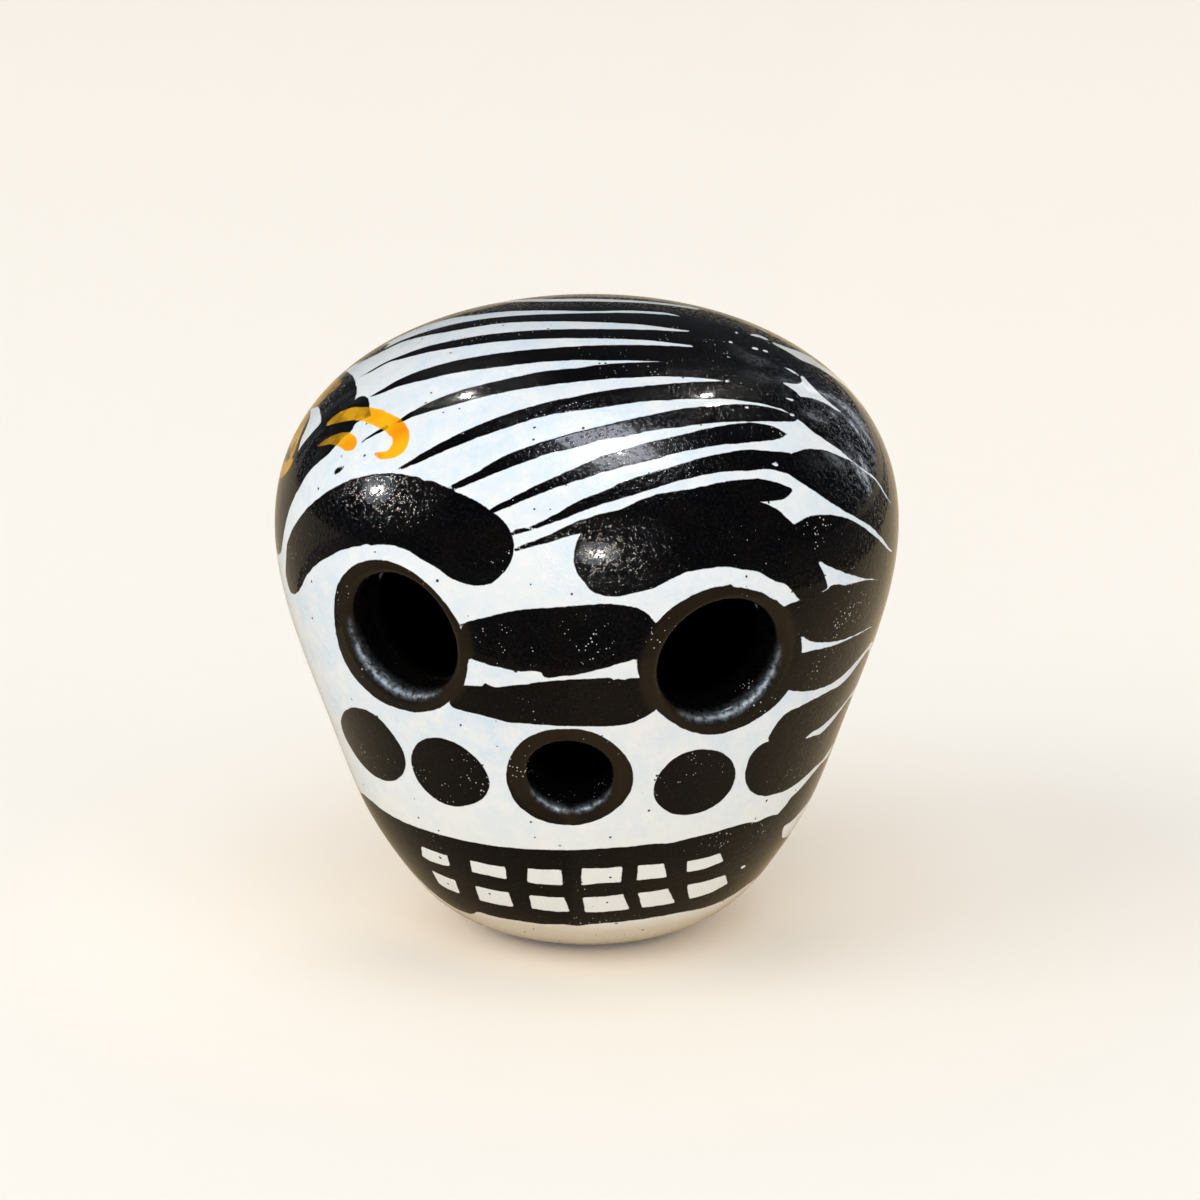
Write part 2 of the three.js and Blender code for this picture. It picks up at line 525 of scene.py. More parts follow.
for hole in holes.values():
    axes = hole_axes(hole)
    open_cells(painted_face, axes, mouth_reach(hole) + apron_width + skin_margin)
    open_cells(face_hollow, axes, hole["radius"] + hollow_margin)
say_counts(painted_face, "opened face skin:")

# %% Join the collars and fill the gaps round them
gap_reach = 5.0


def choose_open_edges(piece, wanted):
    """In edit mode, selects the open edges whose middles are wanted, and counts them."""
    bpy.ops.mesh.select_all(action="DESELECT")
    data = bmesh.from_edit_mesh(piece.data)
    loose = [edge for edge in data.edges if edge.is_boundary or edge.is_wire]
    middles = [(edge.verts[0].co + edge.verts[1].co) / 2 for edge in loose]
    keep = wanted(np.array(middles).reshape(-1, 3) / MM)
    for edge, chosen in zip(loose, keep):
        if chosen:
            edge.select_set(True)
    bmesh.update_edit_mesh(piece.data)
    return int(keep.sum())


def near_mouth(axes, hole, outer_side):
    """Tells which points lie round one hole, on the outer or the inner half of the wall."""
    def wanted(points):
        off, out = off_axis(points, axes)
        outer = over_skin(points) > -wall / 2
        return (off < hole["radius"] + gap_reach) & (np.abs(out) < axis_reach) & (
            outer if outer_side else ~outer)
    return wanted


turn_faces(face_hollow)
turn_faces(back_hollow)
choose(painted_face, [face_hollow, *collars])
bpy.ops.object.join()
choose(painted_back, [back_hollow])
bpy.ops.object.join()
edit(painted_face, (False, True, False))
for name, hole in holes.items():
    axes = hole_axes(hole)
    for outer_side in (True, False):
        count = choose_open_edges(painted_face, near_mouth(axes, hole, outer_side))
        bpy.ops.mesh.fill(use_beauty=True)
        print(name, "filled a gap of", count, "edges")

# %% Close the join between skin and hollow
join_tolerance = 0.05


def at_join(points):
    return np.abs(points[:, 1] - axis_y) < join_tolerance


def anywhere(points):
    return np.ones(len(points), bool)


for shell in (painted_face, painted_back):
    edit(shell, (False, True, False))
    count = choose_open_edges(shell, at_join)
    bpy.ops.mesh.bridge_edge_loops()
    left_open = choose_open_edges(shell, anywhere)
    data = bmesh.from_edit_mesh(shell.data)
    turned = sum(1 for edge in data.edges if edge.is_manifold and not edge.is_contiguous)
    bpy.ops.object.mode_set(mode="OBJECT")
    print(shell.name, "join of", count, "edges closed, open edges left:", left_open)
    print("edges whose two faces look opposite ways:", turned)
    say_counts(shell, shell.name + ":")

# %% [markdown]
# ## Smooth shading that follows the form
# A glaze shows every facet and every change of cell size as a kink in its reflections. Shading
# smooth by angle keeps the edge of the join sharp. On the outside the normals are then taken
# straight from the form, so the filled gaps round the holes and the line where the halves meet
# don't show in the gloss.

# %% Shade smooth and take the skin's normals from the form
skin_tolerance = 0.01
sharp_angle = 40.0


def shade_like_form(shell, opened):
    choose(shell)
    bpy.ops.object.shade_smooth_by_angle(angle=math.radians(sharp_angle))
    mesh = shell.data
    points = coordinates(shell)
    on_skin = np.abs(over_skin(points)) < skin_tolerance
    normals = np.zeros_like(points)
    normals[on_skin] = skin_normals(points[on_skin])
    at_mouth = np.zeros(len(points), bool)
    for hole in opened:
        off, out = off_axis(points, hole_axes(hole))
        reach = mouth_reach(hole) + apron_width + skin_tolerance
        at_mouth |= on_skin & (off < reach) & (np.abs(out) < axis_reach)
    corner_vertex = np.empty(len(mesh.loops), np.int32)
    mesh.loops.foreach_get("vertex_index", corner_vertex)
    corner_count = np.empty(len(mesh.polygons), np.int32)
    mesh.polygons.foreach_get("loop_total", corner_count)
    corner_face = np.repeat(np.arange(len(mesh.polygons)), corner_count)
    off_skin = np.bincount(corner_face, ~on_skin[corner_vertex], len(mesh.polygons))
    skin_face = off_skin == 0
    use = skin_face[corner_face] | at_mouth[corner_vertex]
    corner_normals = np.where(use[:, None], normals[corner_vertex], 0.0)
    mesh.normals_split_custom_set(corner_normals)
    print(shell.name, "skin faces:", int(skin_face.sum()), "of", len(mesh.polygons))


shade_like_form(painted_face, holes.values())
shade_like_form(painted_back, [])

# %% [markdown]
# ## Brushwork as outlines on the skin
# The painter laid every stripe, petal and dot with a loaded brush, so each has one clean, slightly
# trembling outline. An image texture would fix the painting to one resolution. Here each stroke is
# an outline through a few points, followed in the photograph or given by longitude and height
# where the photograph doesn't reach. Every vertex keeps how deep it lies inside the nearest
# stroke, in millimetres, and the glaze turns colour where that depth passes zero. Strokes that
# almost touch are kept in two layers, so that the hairline of white between them stays crisp.

# %% Smooth outlines
corner_limit = 0.1
crown_reach = 40.0


def smooth_loop(points, steps):
    """A closed curve through the points, smooth but for corners sharper than a right angle."""
    before = np.roll(points, 1, axis=0)
    after = np.roll(points, -1, axis=0)
    reach_in = np.linalg.norm(points - before, axis=1)[:, None] + 1e-9
    reach_out = np.linalg.norm(after - points, axis=1)[:, None] + 1e-9
    way_in = (points - before) / reach_in
    way_out = (after - points) / reach_out
    corner = (way_in * way_out).sum(axis=1)[:, None] < corner_limit
    heading = (way_in * reach_out + way_out * reach_in) / (reach_in + reach_out)
    heading = np.where(corner, 0.0, heading)
    next_heading = np.roll(heading, -1, axis=0)
    pieces = []
    for step in range(steps):
        t = step / steps
        curve = points * (2 * t ** 3 - 3 * t ** 2 + 1) + after * (3 * t ** 2 - 2 * t ** 3)
        curve += heading * reach_out * (t ** 3 - 2 * t ** 2 + t)
        curve += next_heading * reach_out * (t ** 3 - t ** 2)
        pieces.append(curve)
    return np.stack(pieces, axis=1).reshape(-1, points.shape[1])


def round_brush(line, across, tangent, half_widths, ends):
    """Outline of a brush line with both its ends round."""
    turns = np.linspace(0, math.pi, ends + 2)[1:-1, None]
    far_cap = np.cos(turns) * across[-1] + np.sin(turns) * tangent[-1]
    near_cap = np.cos(turns) * across[0] + np.sin(turns) * tangent[0]
    return np.vstack([
        line + across * half_widths, line[-1] + half_widths[-1] * far_cap,
        (line - across * half_widths)[::-1], line[0] - half_widths[0] * near_cap])


def brush(places, ends=6):
    """Photograph spots round a brush line, given as x, y and half width."""
    line = np.asarray(places, float)
    tangent = unit(np.gradient(line[:, :2], axis=0))
    across = np.stack([-tangent[:, 1], tangent[:, 0]], 1)
    return seen(round_brush(line[:, :2], across, tangent, line[:, 2:], ends))


def band(upper, lower):
    """Outline between an upper and a lower edge, both given from left to right."""
    return seen(list(upper) + list(lower)[::-1])


def by_side(*places):
    """Skin points given as longitude and height."""
    return np.array([on_side(longitude, height) for longitude, height in places])


def by_crown(*places):
    """Skin points of the crown given from above, as x and y in millimetres."""
    rim = np.array([(x, y, centre_height) for x, y in places], float)
    upwards = np.broadcast_to([0.0, 0.0, 1.0], rim.shape)
    return meet(rim, upwards, over_skin, 0.0, crown_reach)


print("a brush line of two spots becomes", len(brush([(600, 500, 4), (620, 500, 4)])), "points")

# %% How deep every vertex lies in a stroke
far_outside = -3.0
chart_reach = 31.0
chart_upwards = (0.05, 0.02, 1.0)
chunk_size = 20000
shells = {"painted_face": painted_face, "painted_back": painted_back}
shell_points = {name: coordinates(shell) for name, shell in shells.items()}
shell_ways = {name: unit(points - head_centre) for name, points in shell_points.items()}
layer_names = ("black_one", "black_two", "white_over", "ochre")
layers = {
    name: {layer: np.full(len(points), far_outside) for layer in layer_names}
    for name, points in shell_points.items()
}


def chart(way, pole):
    """Flat places of directions round a pole, true in distance and direction from it."""
    sideways = unit(np.cross(chart_upwards, pole))
    upright = np.cross(pole, sideways)
    flat = np.stack([way @ sideways, way @ upright], -1)
    length = np.maximum(np.linalg.norm(flat, axis=-1), 1e-9)
    turn = np.arctan2(length, way @ pole)
    return flat * (turn / length * chart_reach)[..., None]


def depth_inside(spots, outline):
    """Signed distance of flat spots from a closed outline, positive inside."""
    run = np.roll(outline, -1, axis=0) - outline
    run_squared = np.maximum((run ** 2).sum(axis=1), 1e-12)
    offset = spots[:, None, :] - outline[None, :, :]
    share = np.clip((offset * run).sum(axis=2) / run_squared, 0.0, 1.0)
    nearest = offset - run * share[..., None]
    distance = np.sqrt((nearest ** 2).sum(axis=2)).min(axis=1)
    end_y = outline[:, 1] + run[:, 1]
    spans = (outline[None, :, 1] > spots[:, 1:]) != (end_y[None, :] > spots[:, 1:])
    slope = run[:, 0] / np.where(np.abs(run[:, 1]) < 1e-9, 1e-9, run[:, 1])
    crossing = outline[:, 0] + (spots[:, 1:] - outline[:, 1]) * slope
    inside = (spans & (spots[:, :1] < crossing)).sum(axis=1) % 2 == 1
    return np.where(inside, distance, -distance)


def paint(layer, outline, steps=5):
    """Lays one stroke into a layer of both shells."""
    loop_ways = unit(onto(smooth_loop(np.asarray(outline, float), steps)) - head_centre)
    pole = unit(loop_ways.mean(axis=0))
    flat_loop = chart(loop_ways, pole)
    reach = np.linalg.norm(flat_loop, axis=1).max() - far_outside
    low = flat_loop.min(axis=0) + far_outside
    high = flat_loop.max(axis=0) - far_outside
    for name, ways in shell_ways.items():
        near = np.flatnonzero(ways @ pole > math.cos(min(reach / chart_reach, math.pi)))
        flat = chart(ways[near], pole)
        boxed = ((flat > low) & (flat < high)).all(axis=1)
        near = near[boxed]
        flat = flat[boxed]
        values = layers[name][layer]
        for chunk in range(0, len(near), chunk_size):
            part = near[chunk:chunk + chunk_size]
            depth = depth_inside(flat[chunk:chunk + chunk_size], flat_loop)
            values[part] = np.maximum(values[part], depth)


def paint_in_turn(outlines):
    """Lays neighbouring black strokes into the two black layers in turn."""
    for number, outline in enumerate(outlines):
        paint(("black_one", "black_two")[number % 2], outline)


print("layers:", layer_names)

# %% [markdown]
# ## Stripes over the brow and the crown
# Eleven stripes, each up to 3 mm broad, run from the left temple over the forehead into the dark
# right side, the highest one over the crown. Each was one stroke, so each is one outline: its
# upper edge, then its lower edge. Neighbours go into the two layers in turn.

# %% Paint the stripes
stripe_z = np.vstack([
    seen([(502, 300), (550, 299), (600, 299), (650, 301.7), (700, 308.6), (720, 313), (735, 318),
        (765, 330), (800, 350)]),
    by_crown((17, 16.8), (12, 15.4), (6, 14.3), (0, 13.6), (-5, 13.7), (-10, 14.8)),
])
stripe_a = band(
    [(354, 358), (370, 347), (400, 331), (430, 318), (450, 312.5), (475, 307), (500, 303),
     (550, 301.5), (600, 301.5), (650, 303.5), (700, 310), (720, 314.2), (735, 320), (770, 330)],
    [(356, 362), (370, 353), (400, 336.5), (430, 324), (450, 318.5), (475, 315), (500, 312),
     (550, 310.5), (600, 311.2), (620, 310.6), (650, 311.5), (670, 313.5), (682, 317), (700, 324),
     (720, 333), (770, 346)])
stripe_b = band(
    [(352, 367.5), (380, 351), (400, 341), (425, 332), (450, 325), (500, 317), (550, 314),
     (600, 313), (620, 312.7), (650, 313.6), (670, 315.2), (682, 316.6), (710, 317), (770, 330)],
    [(380, 352.7), (400, 343), (425, 336), (450, 331.5), (500, 323.5), (550, 321.5), (600, 322.3),
     (650, 325.5), (680, 329.7), (699, 332), (720, 337), (770, 352)])
stripe_c = band(
    [(356, 379.5), (370, 371), (390, 360), (400, 356), (425, 347), (450, 341), (500, 333),
     (550, 329.5), (600, 329), (650, 329.8), (680, 331.4), (699, 332.4), (730, 334), (770, 345)],
    [(370, 372.5), (390, 362), (400, 359.5), (425, 353), (450, 348.5), (500, 341.5), (550, 338.5),
     (600, 338.5), (650, 340.7), (680, 344), (701, 347), (730, 357), (770, 368)])
stripe_d = band(
    [(368, 398), (380, 390.5), (400, 379), (425, 369), (450, 362), (500, 353), (550, 348),
     (600, 345.2), (650, 345.2), (680, 346.2), (701, 347.4), (730, 348), (770, 360)],
    [(380, 394), (400, 386), (425, 380), (450, 374), (500, 367), (550, 361.5), (580, 360.2),
     (600, 360.5), (640, 360.8), (661, 361.8), (700, 369), (730, 376), (770, 384)])
stripe_e = band(
    [(396, 423), (402, 418), (410, 412.5), (420, 407), (450, 394), (500, 380.5), (550, 370.5),
     (580, 367.6), (600, 364.6), (620, 363), (640, 362.3), (661, 361.6), (700, 361), (740, 366),
     (770, 376)],
    [(402, 422), (410, 418), (420, 414.5), (450, 406), (500, 393), (550, 385), (580, 381.6),
     (600, 379.4), (640, 377.4), (660, 376.4), (700, 378.2), (723, 381), (745, 390), (770, 396)])
stripe_f = band(
    [(391, 472), (400, 467), (420, 454.5), (450, 438), (500, 416.5), (550, 401.5), (580, 395.6),
     (600, 391.5), (640, 386.3), (660, 384.5), (700, 381.6), (723, 381), (745, 378), (781, 381),
     (790, 386.5), (800, 395.5)],
    [(400, 470), (420, 462), (450, 448.5), (500, 430), (550, 415), (580, 410.3), (600, 407.8),
     (640, 402), (660, 400.5), (700, 399), (725, 399), (740, 400.5), (760, 403.5), (778, 408),
     (790, 412), (800, 416)])
stripe_g = band(
    [(447.5, 487), (475, 473), (500, 458), (525, 447.5), (550, 439.5), (580, 431), (600, 426.2),
     (620, 421.4), (650, 415.2), (680, 408.8), (700, 406.6), (720, 405), (740, 404.2),
     (760, 405.5), (780, 410), (798, 417)],
    [(452, 488.5), (475, 481.5), (500, 471.5), (525, 462), (550, 453.5), (580, 446.4),
     (600, 440.5), (620, 437.6), (650, 431), (680, 427), (700, 424.3), (720, 422.5), (740, 421.5),
     (760, 421.5), (780, 421.5), (796, 420.5)])
stripe_h = band(
    [(487.5, 510.5), (491, 508.5), (520, 493.5), (550, 479), (590, 461.5), (600, 456.8),
     (620, 450.9), (650, 442), (680, 435.4), (700, 430), (720, 426), (740, 423.3), (760, 423.3),
     (775, 427), (788, 434.5)],
    [(489, 513), (500, 510.5), (520, 502), (550, 490), (590, 476.5), (600, 473), (620, 467.8),
     (650, 460.4), (680, 452.3), (700, 448.7), (720, 445), (740, 443.5), (760, 441.3), (775, 440)])
stripe_i = band(
    [(512.5, 532.6), (530, 526.8), (550, 517), (590, 496), (600, 492.9), (620, 483.3), (650, 473),
     (680, 464.1), (700, 458.2), (720, 453.8), (740, 450), (750, 449.4), (770, 451), (792, 453)],
    [(513, 535.2), (530, 530.8), (550, 523.7), (590, 508.5), (600, 504.7), (620, 498.8),
     (650, 490), (680, 480.4), (700, 475.9), (720, 472.2), (740, 471), (750, 470.5), (770, 469.3),
     (792, 476)])
stripe_j = band(
    [(513, 548.6), (518, 546.6), (535, 540.2), (550, 534.5), (565, 527), (580, 520.5), (600, 514),
     (620, 509), (640, 500.3), (660, 493.6), (680, 490.7), (700, 487), (720, 482.6), (740, 479.6),
     (760, 478.9), (780, 483.3), (793, 489.5)],
    [(514.5, 551), (522, 549.6), (535, 546), (550, 542), (565, 537.5), (580, 533.5), (600, 532),
     (640, 520), (700, 508), (740, 504), (761, 502), (773, 500.5), (786, 498)])
paint("black_two", stripe_z)
stripes = [
    stripe_a, stripe_b, stripe_c, stripe_d, stripe_e, stripe_f, stripe_g, stripe_h, stripe_i,
    stripe_j]
paint_in_turn(stripes)
print("stripes painted:", len(stripes) + 1)

# %% [markdown]
# ## The dark right side
# At the right temple the stripes run together into one dark mass, and two petals and three
# lashes reach back to a flower behind the temple, with one more stroke down to the jaw. White
# shows between them in thin lenses. The black is painted first, and the few closed lenses and
# some flecks that the brush skipped are laid over it in white.

# %% Paint the right temple
temple_mass = np.vstack([
    seen([(690, 340), (700, 314), (712, 306), (730, 306)]),
    by_crown((9, 16.5), (15, 17.5), (20, 15), (24.5, 11), (27.5, 6)),
    by_side((104, 50.5), (110, 46.5), (119, 41.8), (118.5, 40.8), (112, 42.6), (103, 44.6),
        (97, 43.9), (92, 43.9)),
    seen([(887, 497), (875, 478), (860, 467), (850, 459), (840, 450.5), (830, 443.5), (820, 436.5),
        (812, 431), (805, 425), (797.5, 419), (785, 411), (760, 400), (735, 388), (705, 366)]),
])
petal_two = np.vstack([
    seen([(784, 456), (790, 454), (800, 450.5), (812, 449), (820, 449.5), (830, 452), (840, 456),
        (850, 460.5), (860, 468), (875, 480), (886, 497)]),
    by_side((92, 44.3), (97, 44.1), (104, 42.6), (114, 40.5), (117.5, 39.5), (112, 39.6),
        (104, 40.4), (98, 39.9), (92, 39.7)),
    seen([(890, 549), (880, 536), (870, 526), (860, 520), (850, 514.5), (840, 508.5), (830, 502),
        (820, 495), (810, 488.5), (800, 482), (790, 475.5), (781, 468.5)]),
])
petal_three = np.vstack([
    seen([(794, 525), (800, 521), (812, 515.5), (820, 514.5), (830, 514.5), (840, 516), (850, 519),
        (860, 525), (870, 532), (880, 541), (889, 550.5)]),
    by_side((92, 40.4), (98, 40.3), (104, 39.7), (112, 38.9), (117, 38.3), (112, 37.5), (104, 37),
        (98, 35.9), (92, 35.4)),
    seen([(875, 579.5), (860, 577.5), (850, 574.5), (840, 571), (830, 567), (817.5, 561),
        (800, 570), (785, 550)]),
])
lash_one = np.vstack([
    seen([(784, 607), (800, 600), (814, 594), (828, 588.5), (830, 586.5), (845, 585), (855, 582.5),
        (865, 580.5), (875, 579.5)]),
    by_side((92, 35.8), (98, 36.3), (104, 36.4), (113, 37), (117, 37.2), (112, 35.9), (104, 34.2),
        (97, 31.8), (92, 30.3)),
    seen([(870, 627), (860, 632.5), (850, 637), (840, 640.5), (830, 642), (820, 642.5), (810, 641),
        (800, 636), (780, 640)]),
])
lash_two = np.vstack([
    seen([(785, 650), (801, 653), (810, 651), (820, 649), (830, 646.5), (840, 643), (850, 638.5),
        (860, 633.5), (870, 627.5)]),
    by_side((92, 30.9), (97, 32.4), (104, 33.6), (112, 35.4), (117.5, 36.4), (113, 34.4),
        (105, 31.2), (98, 28.2), (92, 26)),
    seen([(872, 641), (868, 647), (860, 657), (850, 668.5), (840, 678), (830, 684.5), (820, 688.5),
        (810, 691), (800, 691.5), (788, 690), (775, 675)]),
])
lash_three = np.vstack([
    seen([(768, 739), (772, 731), (778, 722), (784, 715), (790, 711), (800, 706.5), (810, 701),
        (820, 696), (830, 690.5), (840, 685), (850, 675), (860, 661), (868, 650)]),
    by_side((92, 26.8), (98, 29), (105, 30.6), (113, 33.9), (118.5, 35.7), (114.5, 32.6),
        (104, 27.4), (94, 23.4)),
    seen([(858, 683), (850, 695.5), (840, 708.5), (830, 719), (820, 728), (812.5, 732), (800, 742),
        (785, 745), (771, 742)]),
])
jaw_stroke = np.vstack([
    seen([(834, 743), (830, 752), (820, 765), (810, 777), (800, 789), (790, 799), (785, 806),
        (778, 814), (765, 830), (784, 826), (795, 818), (801, 811)]),
    by_side((84, 15), (96, 18.5), (108, 25), (119, 33.2), (119.8, 35), (113.5, 31.4), (103, 25.5),
        (95, 22)),
])
paint_in_turn([temple_mass, petal_two, petal_three, lash_one, lash_two, lash_three, jaw_stroke])
print("right temple painted")

# %% White between the strokes of the temple
lens_upper = band(
    [(769, 341), (790, 348.5), (799, 351.5), (810, 357), (820, 364.5), (830, 371), (840, 379),
     (850, 389), (862, 407)],
    [(780, 347.5), (790, 353), (800, 359.5), (810, 363.5), (820, 368.5), (830, 375), (840, 382),
     (850, 391)])
lens_hair = band(
    [(783, 367), (790, 369.2), (795, 372), (800, 377)],
    [(790, 370.8), (795, 374)])
lens_middle = seen([
    (781, 382), (790, 383.5), (800, 383.5), (802, 381), (801, 376), (803, 376), (808, 382),
    (815, 389), (825, 398.5), (835, 407), (842, 413), (835, 409.5), (825, 403), (815, 399),
    (808, 397.5), (800, 396.5), (797, 392.5), (790, 387.5)])
lens_slit = seen([
    (785, 397.5), (790, 398.6), (795, 399.3), (793, 401.5)])
lens_dot = seen([
    (779, 460), (778, 464), (779, 467.5), (775, 466.5), (771, 464), (775, 462)])
fleck_lines = [
    [(735, 332, 0.8), (737.5, 333, 0.7)], [(752, 335, 1.0), (760, 336.4, 0.9), (768, 340, 0.6)],
    [(730, 342, 1.0), (732, 342.5, 0.8)], [(753, 348, 1.0), (757, 349, 1.0)],
    [(764, 350.5, 0.9), (767, 351.5, 0.7)], [(728, 357, 0.9), (730, 357.5, 0.8)],
    [(746, 407, 1.2), (747.5, 408, 1.0)], [(791, 414.5, 1.2), (794, 415.5, 1.0)],
    [(726, 381, 1.0), (728.5, 381.7, 0.8)],
]
for lens in (lens_upper, lens_hair, lens_middle, lens_slit, lens_dot):
    paint("white_over", lens)
for fleck in fleck_lines:
    paint("white_over", brush(fleck, 3), 3)
print("flecks:", len(fleck_lines))

# %% [markdown]
# ## Brows, nose bridge, rings and dots
# These are the broad dark shapes of the face. The brows and the two strokes of the nose bridge
# follow their outlines. The rings round the holes and the dots on the cheeks are ovals that the
# painter turned with the brush, so each is an outline of its own too.

# %% Paint the brows and the nose bridge
left_brow = seen([
    (286, 576), (286, 560), (287, 545), (290, 535), (295, 525), (300, 517), (312, 503.5),
    (320, 497), (330, 490), (340, 484.5), (350, 480), (360, 477), (370, 474.5), (380, 473.5),
    (400, 474), (410, 475.5), (420, 477.5), (424, 480.5), (428, 480), (440, 484), (450, 488.5),
    (460, 493.5), (470, 497.5), (480, 503), (490, 510), (500, 517.5), (507, 525), (511, 533),
    (514, 545), (513, 556), (508, 567), (500, 577), (490, 584), (480, 586), (468, 584.5),
    (458, 581.5), (450, 578), (441, 571.5), (430, 564), (423, 560.5), (412, 553), (400, 547.5),
    (390, 545), (374, 545.2), (371, 546), (369, 544.6), (360, 546), (350, 548), (340, 551),
    (330, 556), (320, 562), (311, 570), (306, 577), (302, 586), (298, 592), (294, 594), (290, 591),
    (288, 585)])
right_brow = seen([
    (587, 529), (581, 533), (577, 541), (574, 555), (574, 565), (578, 575), (585, 583), (592, 591),
    (600, 595), (610, 596.5), (620, 596), (635, 593), (652, 588.5), (660, 585), (670, 580),
    (688, 572), (700, 570), (712, 568), (725, 566.5), (740, 569), (757, 571.5), (766, 576.5),
    (775, 581), (785, 584), (793, 592), (800, 600), (814, 596), (828, 588.5), (825, 576),
    (817.5, 561), (812, 545), (794, 525), (788, 519), (780, 511), (775, 508), (761, 502),
    (735, 497), (698, 498), (647, 507), (610, 520)])
bridge_upper = seen([
    (462, 626), (463, 624.5), (475, 619.5), (485, 617.5), (500, 613.5), (520, 610), (540, 608),
    (560, 607), (580, 605.2), (600, 603.8), (615, 604.2), (630, 606), (640, 609), (648, 614),
    (655, 624), (665, 640), (650, 655), (639, 657), (630, 661), (620, 663.5), (605, 668),
    (590, 672), (575, 675), (560, 676.3), (543, 676), (542, 673.5), (540, 672.3), (525, 671.5),
    (515, 671), (500, 667.5), (490, 665.5), (480, 662), (470, 658), (467.5, 655), (464, 642),
    (460, 632)])
bridge_lower = seen([
    (450, 700), (462, 686), (470, 685.3), (483, 685.5), (484.5, 683), (488, 684.5), (492, 686.3),
    (510, 685.8), (525, 684.5), (540, 682), (560, 680.2), (575, 679.2), (600, 678.4), (611, 678.2),
    (613.5, 680), (617, 678.6), (624, 679.6), (630, 678), (638, 677.8), (655, 680), (665, 700),
    (656, 709.5), (650, 714), (640, 719.5), (630, 723.5), (620, 725.5), (600, 726.3), (580, 726.5),
    (560, 726), (540, 724.8), (525, 723.3), (510, 722.5), (500, 720.5), (490, 717.5), (480, 715),
    (470, 712.5), (460, 710), (452, 707), (449, 703)])
for shape in (left_brow, right_brow, bridge_lower):
    paint("black_one", shape)
paint("black_two", bridge_upper)
print("brows and bridge painted")

# %% Paint the rings and the dots
left_ring = seen([
    (334, 605), (335, 595), (340, 580), (350, 568), (362, 561.5), (378, 559.5), (392, 562),
    (405, 567.5), (418, 575.5), (430, 586), (441, 598), (451, 611), (460, 626), (465, 641),
    (468, 656), (467.5, 668), (466, 679), (462, 688), (455, 696), (448, 703), (440, 708),
    (430, 711), (416, 712.5), (405, 710.5), (395, 707.5), (384, 703), (373, 696), (364, 688),
    (355, 678), (347, 666), (341, 653), (337, 638), (334.5, 622)])
right_ring = seen([
    (637.5, 668), (638, 655), (642, 641), (648, 632), (656, 623), (668, 611), (680, 602.5),
    (687, 598.3), (700, 592), (713, 587.5), (725, 585.8), (728, 585), (730, 584.2), (733, 586),
    (745, 588), (760, 592), (772, 598), (780, 603), (787, 609), (794, 617), (799, 627),
    (801.5, 640), (801.5, 655), (799, 668), (795, 680), (788, 691), (778, 703), (766, 713),
    (752, 722), (738, 728.5), (725, 733), (712, 735), (698, 733.5), (685, 729.5), (672, 722.5),
    (660, 713), (650, 701), (642, 686)])
nose_ring = seen([
    (506, 776), (508, 762), (515, 749), (526, 738.5), (541, 731.5), (556, 729), (570, 728.7),
    (586, 730.5), (602, 736.5), (616, 746), (627, 758), (632, 768), (633.5, 777), (631.5, 788),
    (626, 799), (617, 808.5), (605, 816.5), (592, 822), (576, 825.3), (560, 824.5), (543, 821),
    (528, 813.5), (517, 804), (509.5, 791)])
dot_far_left = seen([
    (341, 724), (342, 716), (346, 710), (352, 707.5), (360, 708.3), (370, 712), (380, 719),
    (388, 728), (396, 739), (402, 749), (405.5, 760), (405, 769), (401, 776), (396, 780),
    (388, 781.3), (379, 778.5), (370, 772.5), (361, 763), (352, 750), (345, 737)])
dot_left = seen([
    (411, 760), (413, 750), (419, 742), (428, 738.3), (440, 738), (452, 741.5), (464, 748),
    (475, 757), (484, 768), (489, 779), (488.5, 790), (482, 799), (471, 804.5), (458, 806.5),
    (446, 804.5), (434, 798), (424, 789), (416, 777.5)])
dot_right = seen([
    (653.5, 790), (656, 780), (662, 770), (671, 761), (682, 754), (695, 750), (707, 749.3),
    (720, 752), (729, 757.5), (734.5, 766), (735.5, 776), (733.5, 784), (726, 796), (714, 806),
    (700, 812.5), (686, 815), (672, 813.5), (661, 807), (655, 799)])
dot_far_right = np.vstack([
    seen([(745, 775), (747, 765), (750, 757), (755, 750), (762, 744), (771, 740.5), (785, 742),
        (800, 741), (812.5, 736), (820, 734), (830, 724), (840, 711), (850, 697)]),
    by_side((91, 22.6), (96, 22), (93, 20)),
    seen([(834, 743), (830, 749), (825, 757), (815, 767), (805, 777), (795, 785), (785, 791),
        (775, 794), (766, 796), (757, 795), (750, 790), (746, 783)]),
])
for shape in (dot_far_left, dot_right):
    paint("black_one", shape)
for shape in (left_ring, right_ring, nose_ring, dot_left, dot_far_right):
    paint("black_two", shape)
print("rings and dots painted")

# %% [markdown]
# ## The mouth
# The mouth is one broad dark band round the jaw, with two rows of square teeth left white. It is
# quicker, and closer to what the eye sees, to paint the band whole and lay the teeth over it.

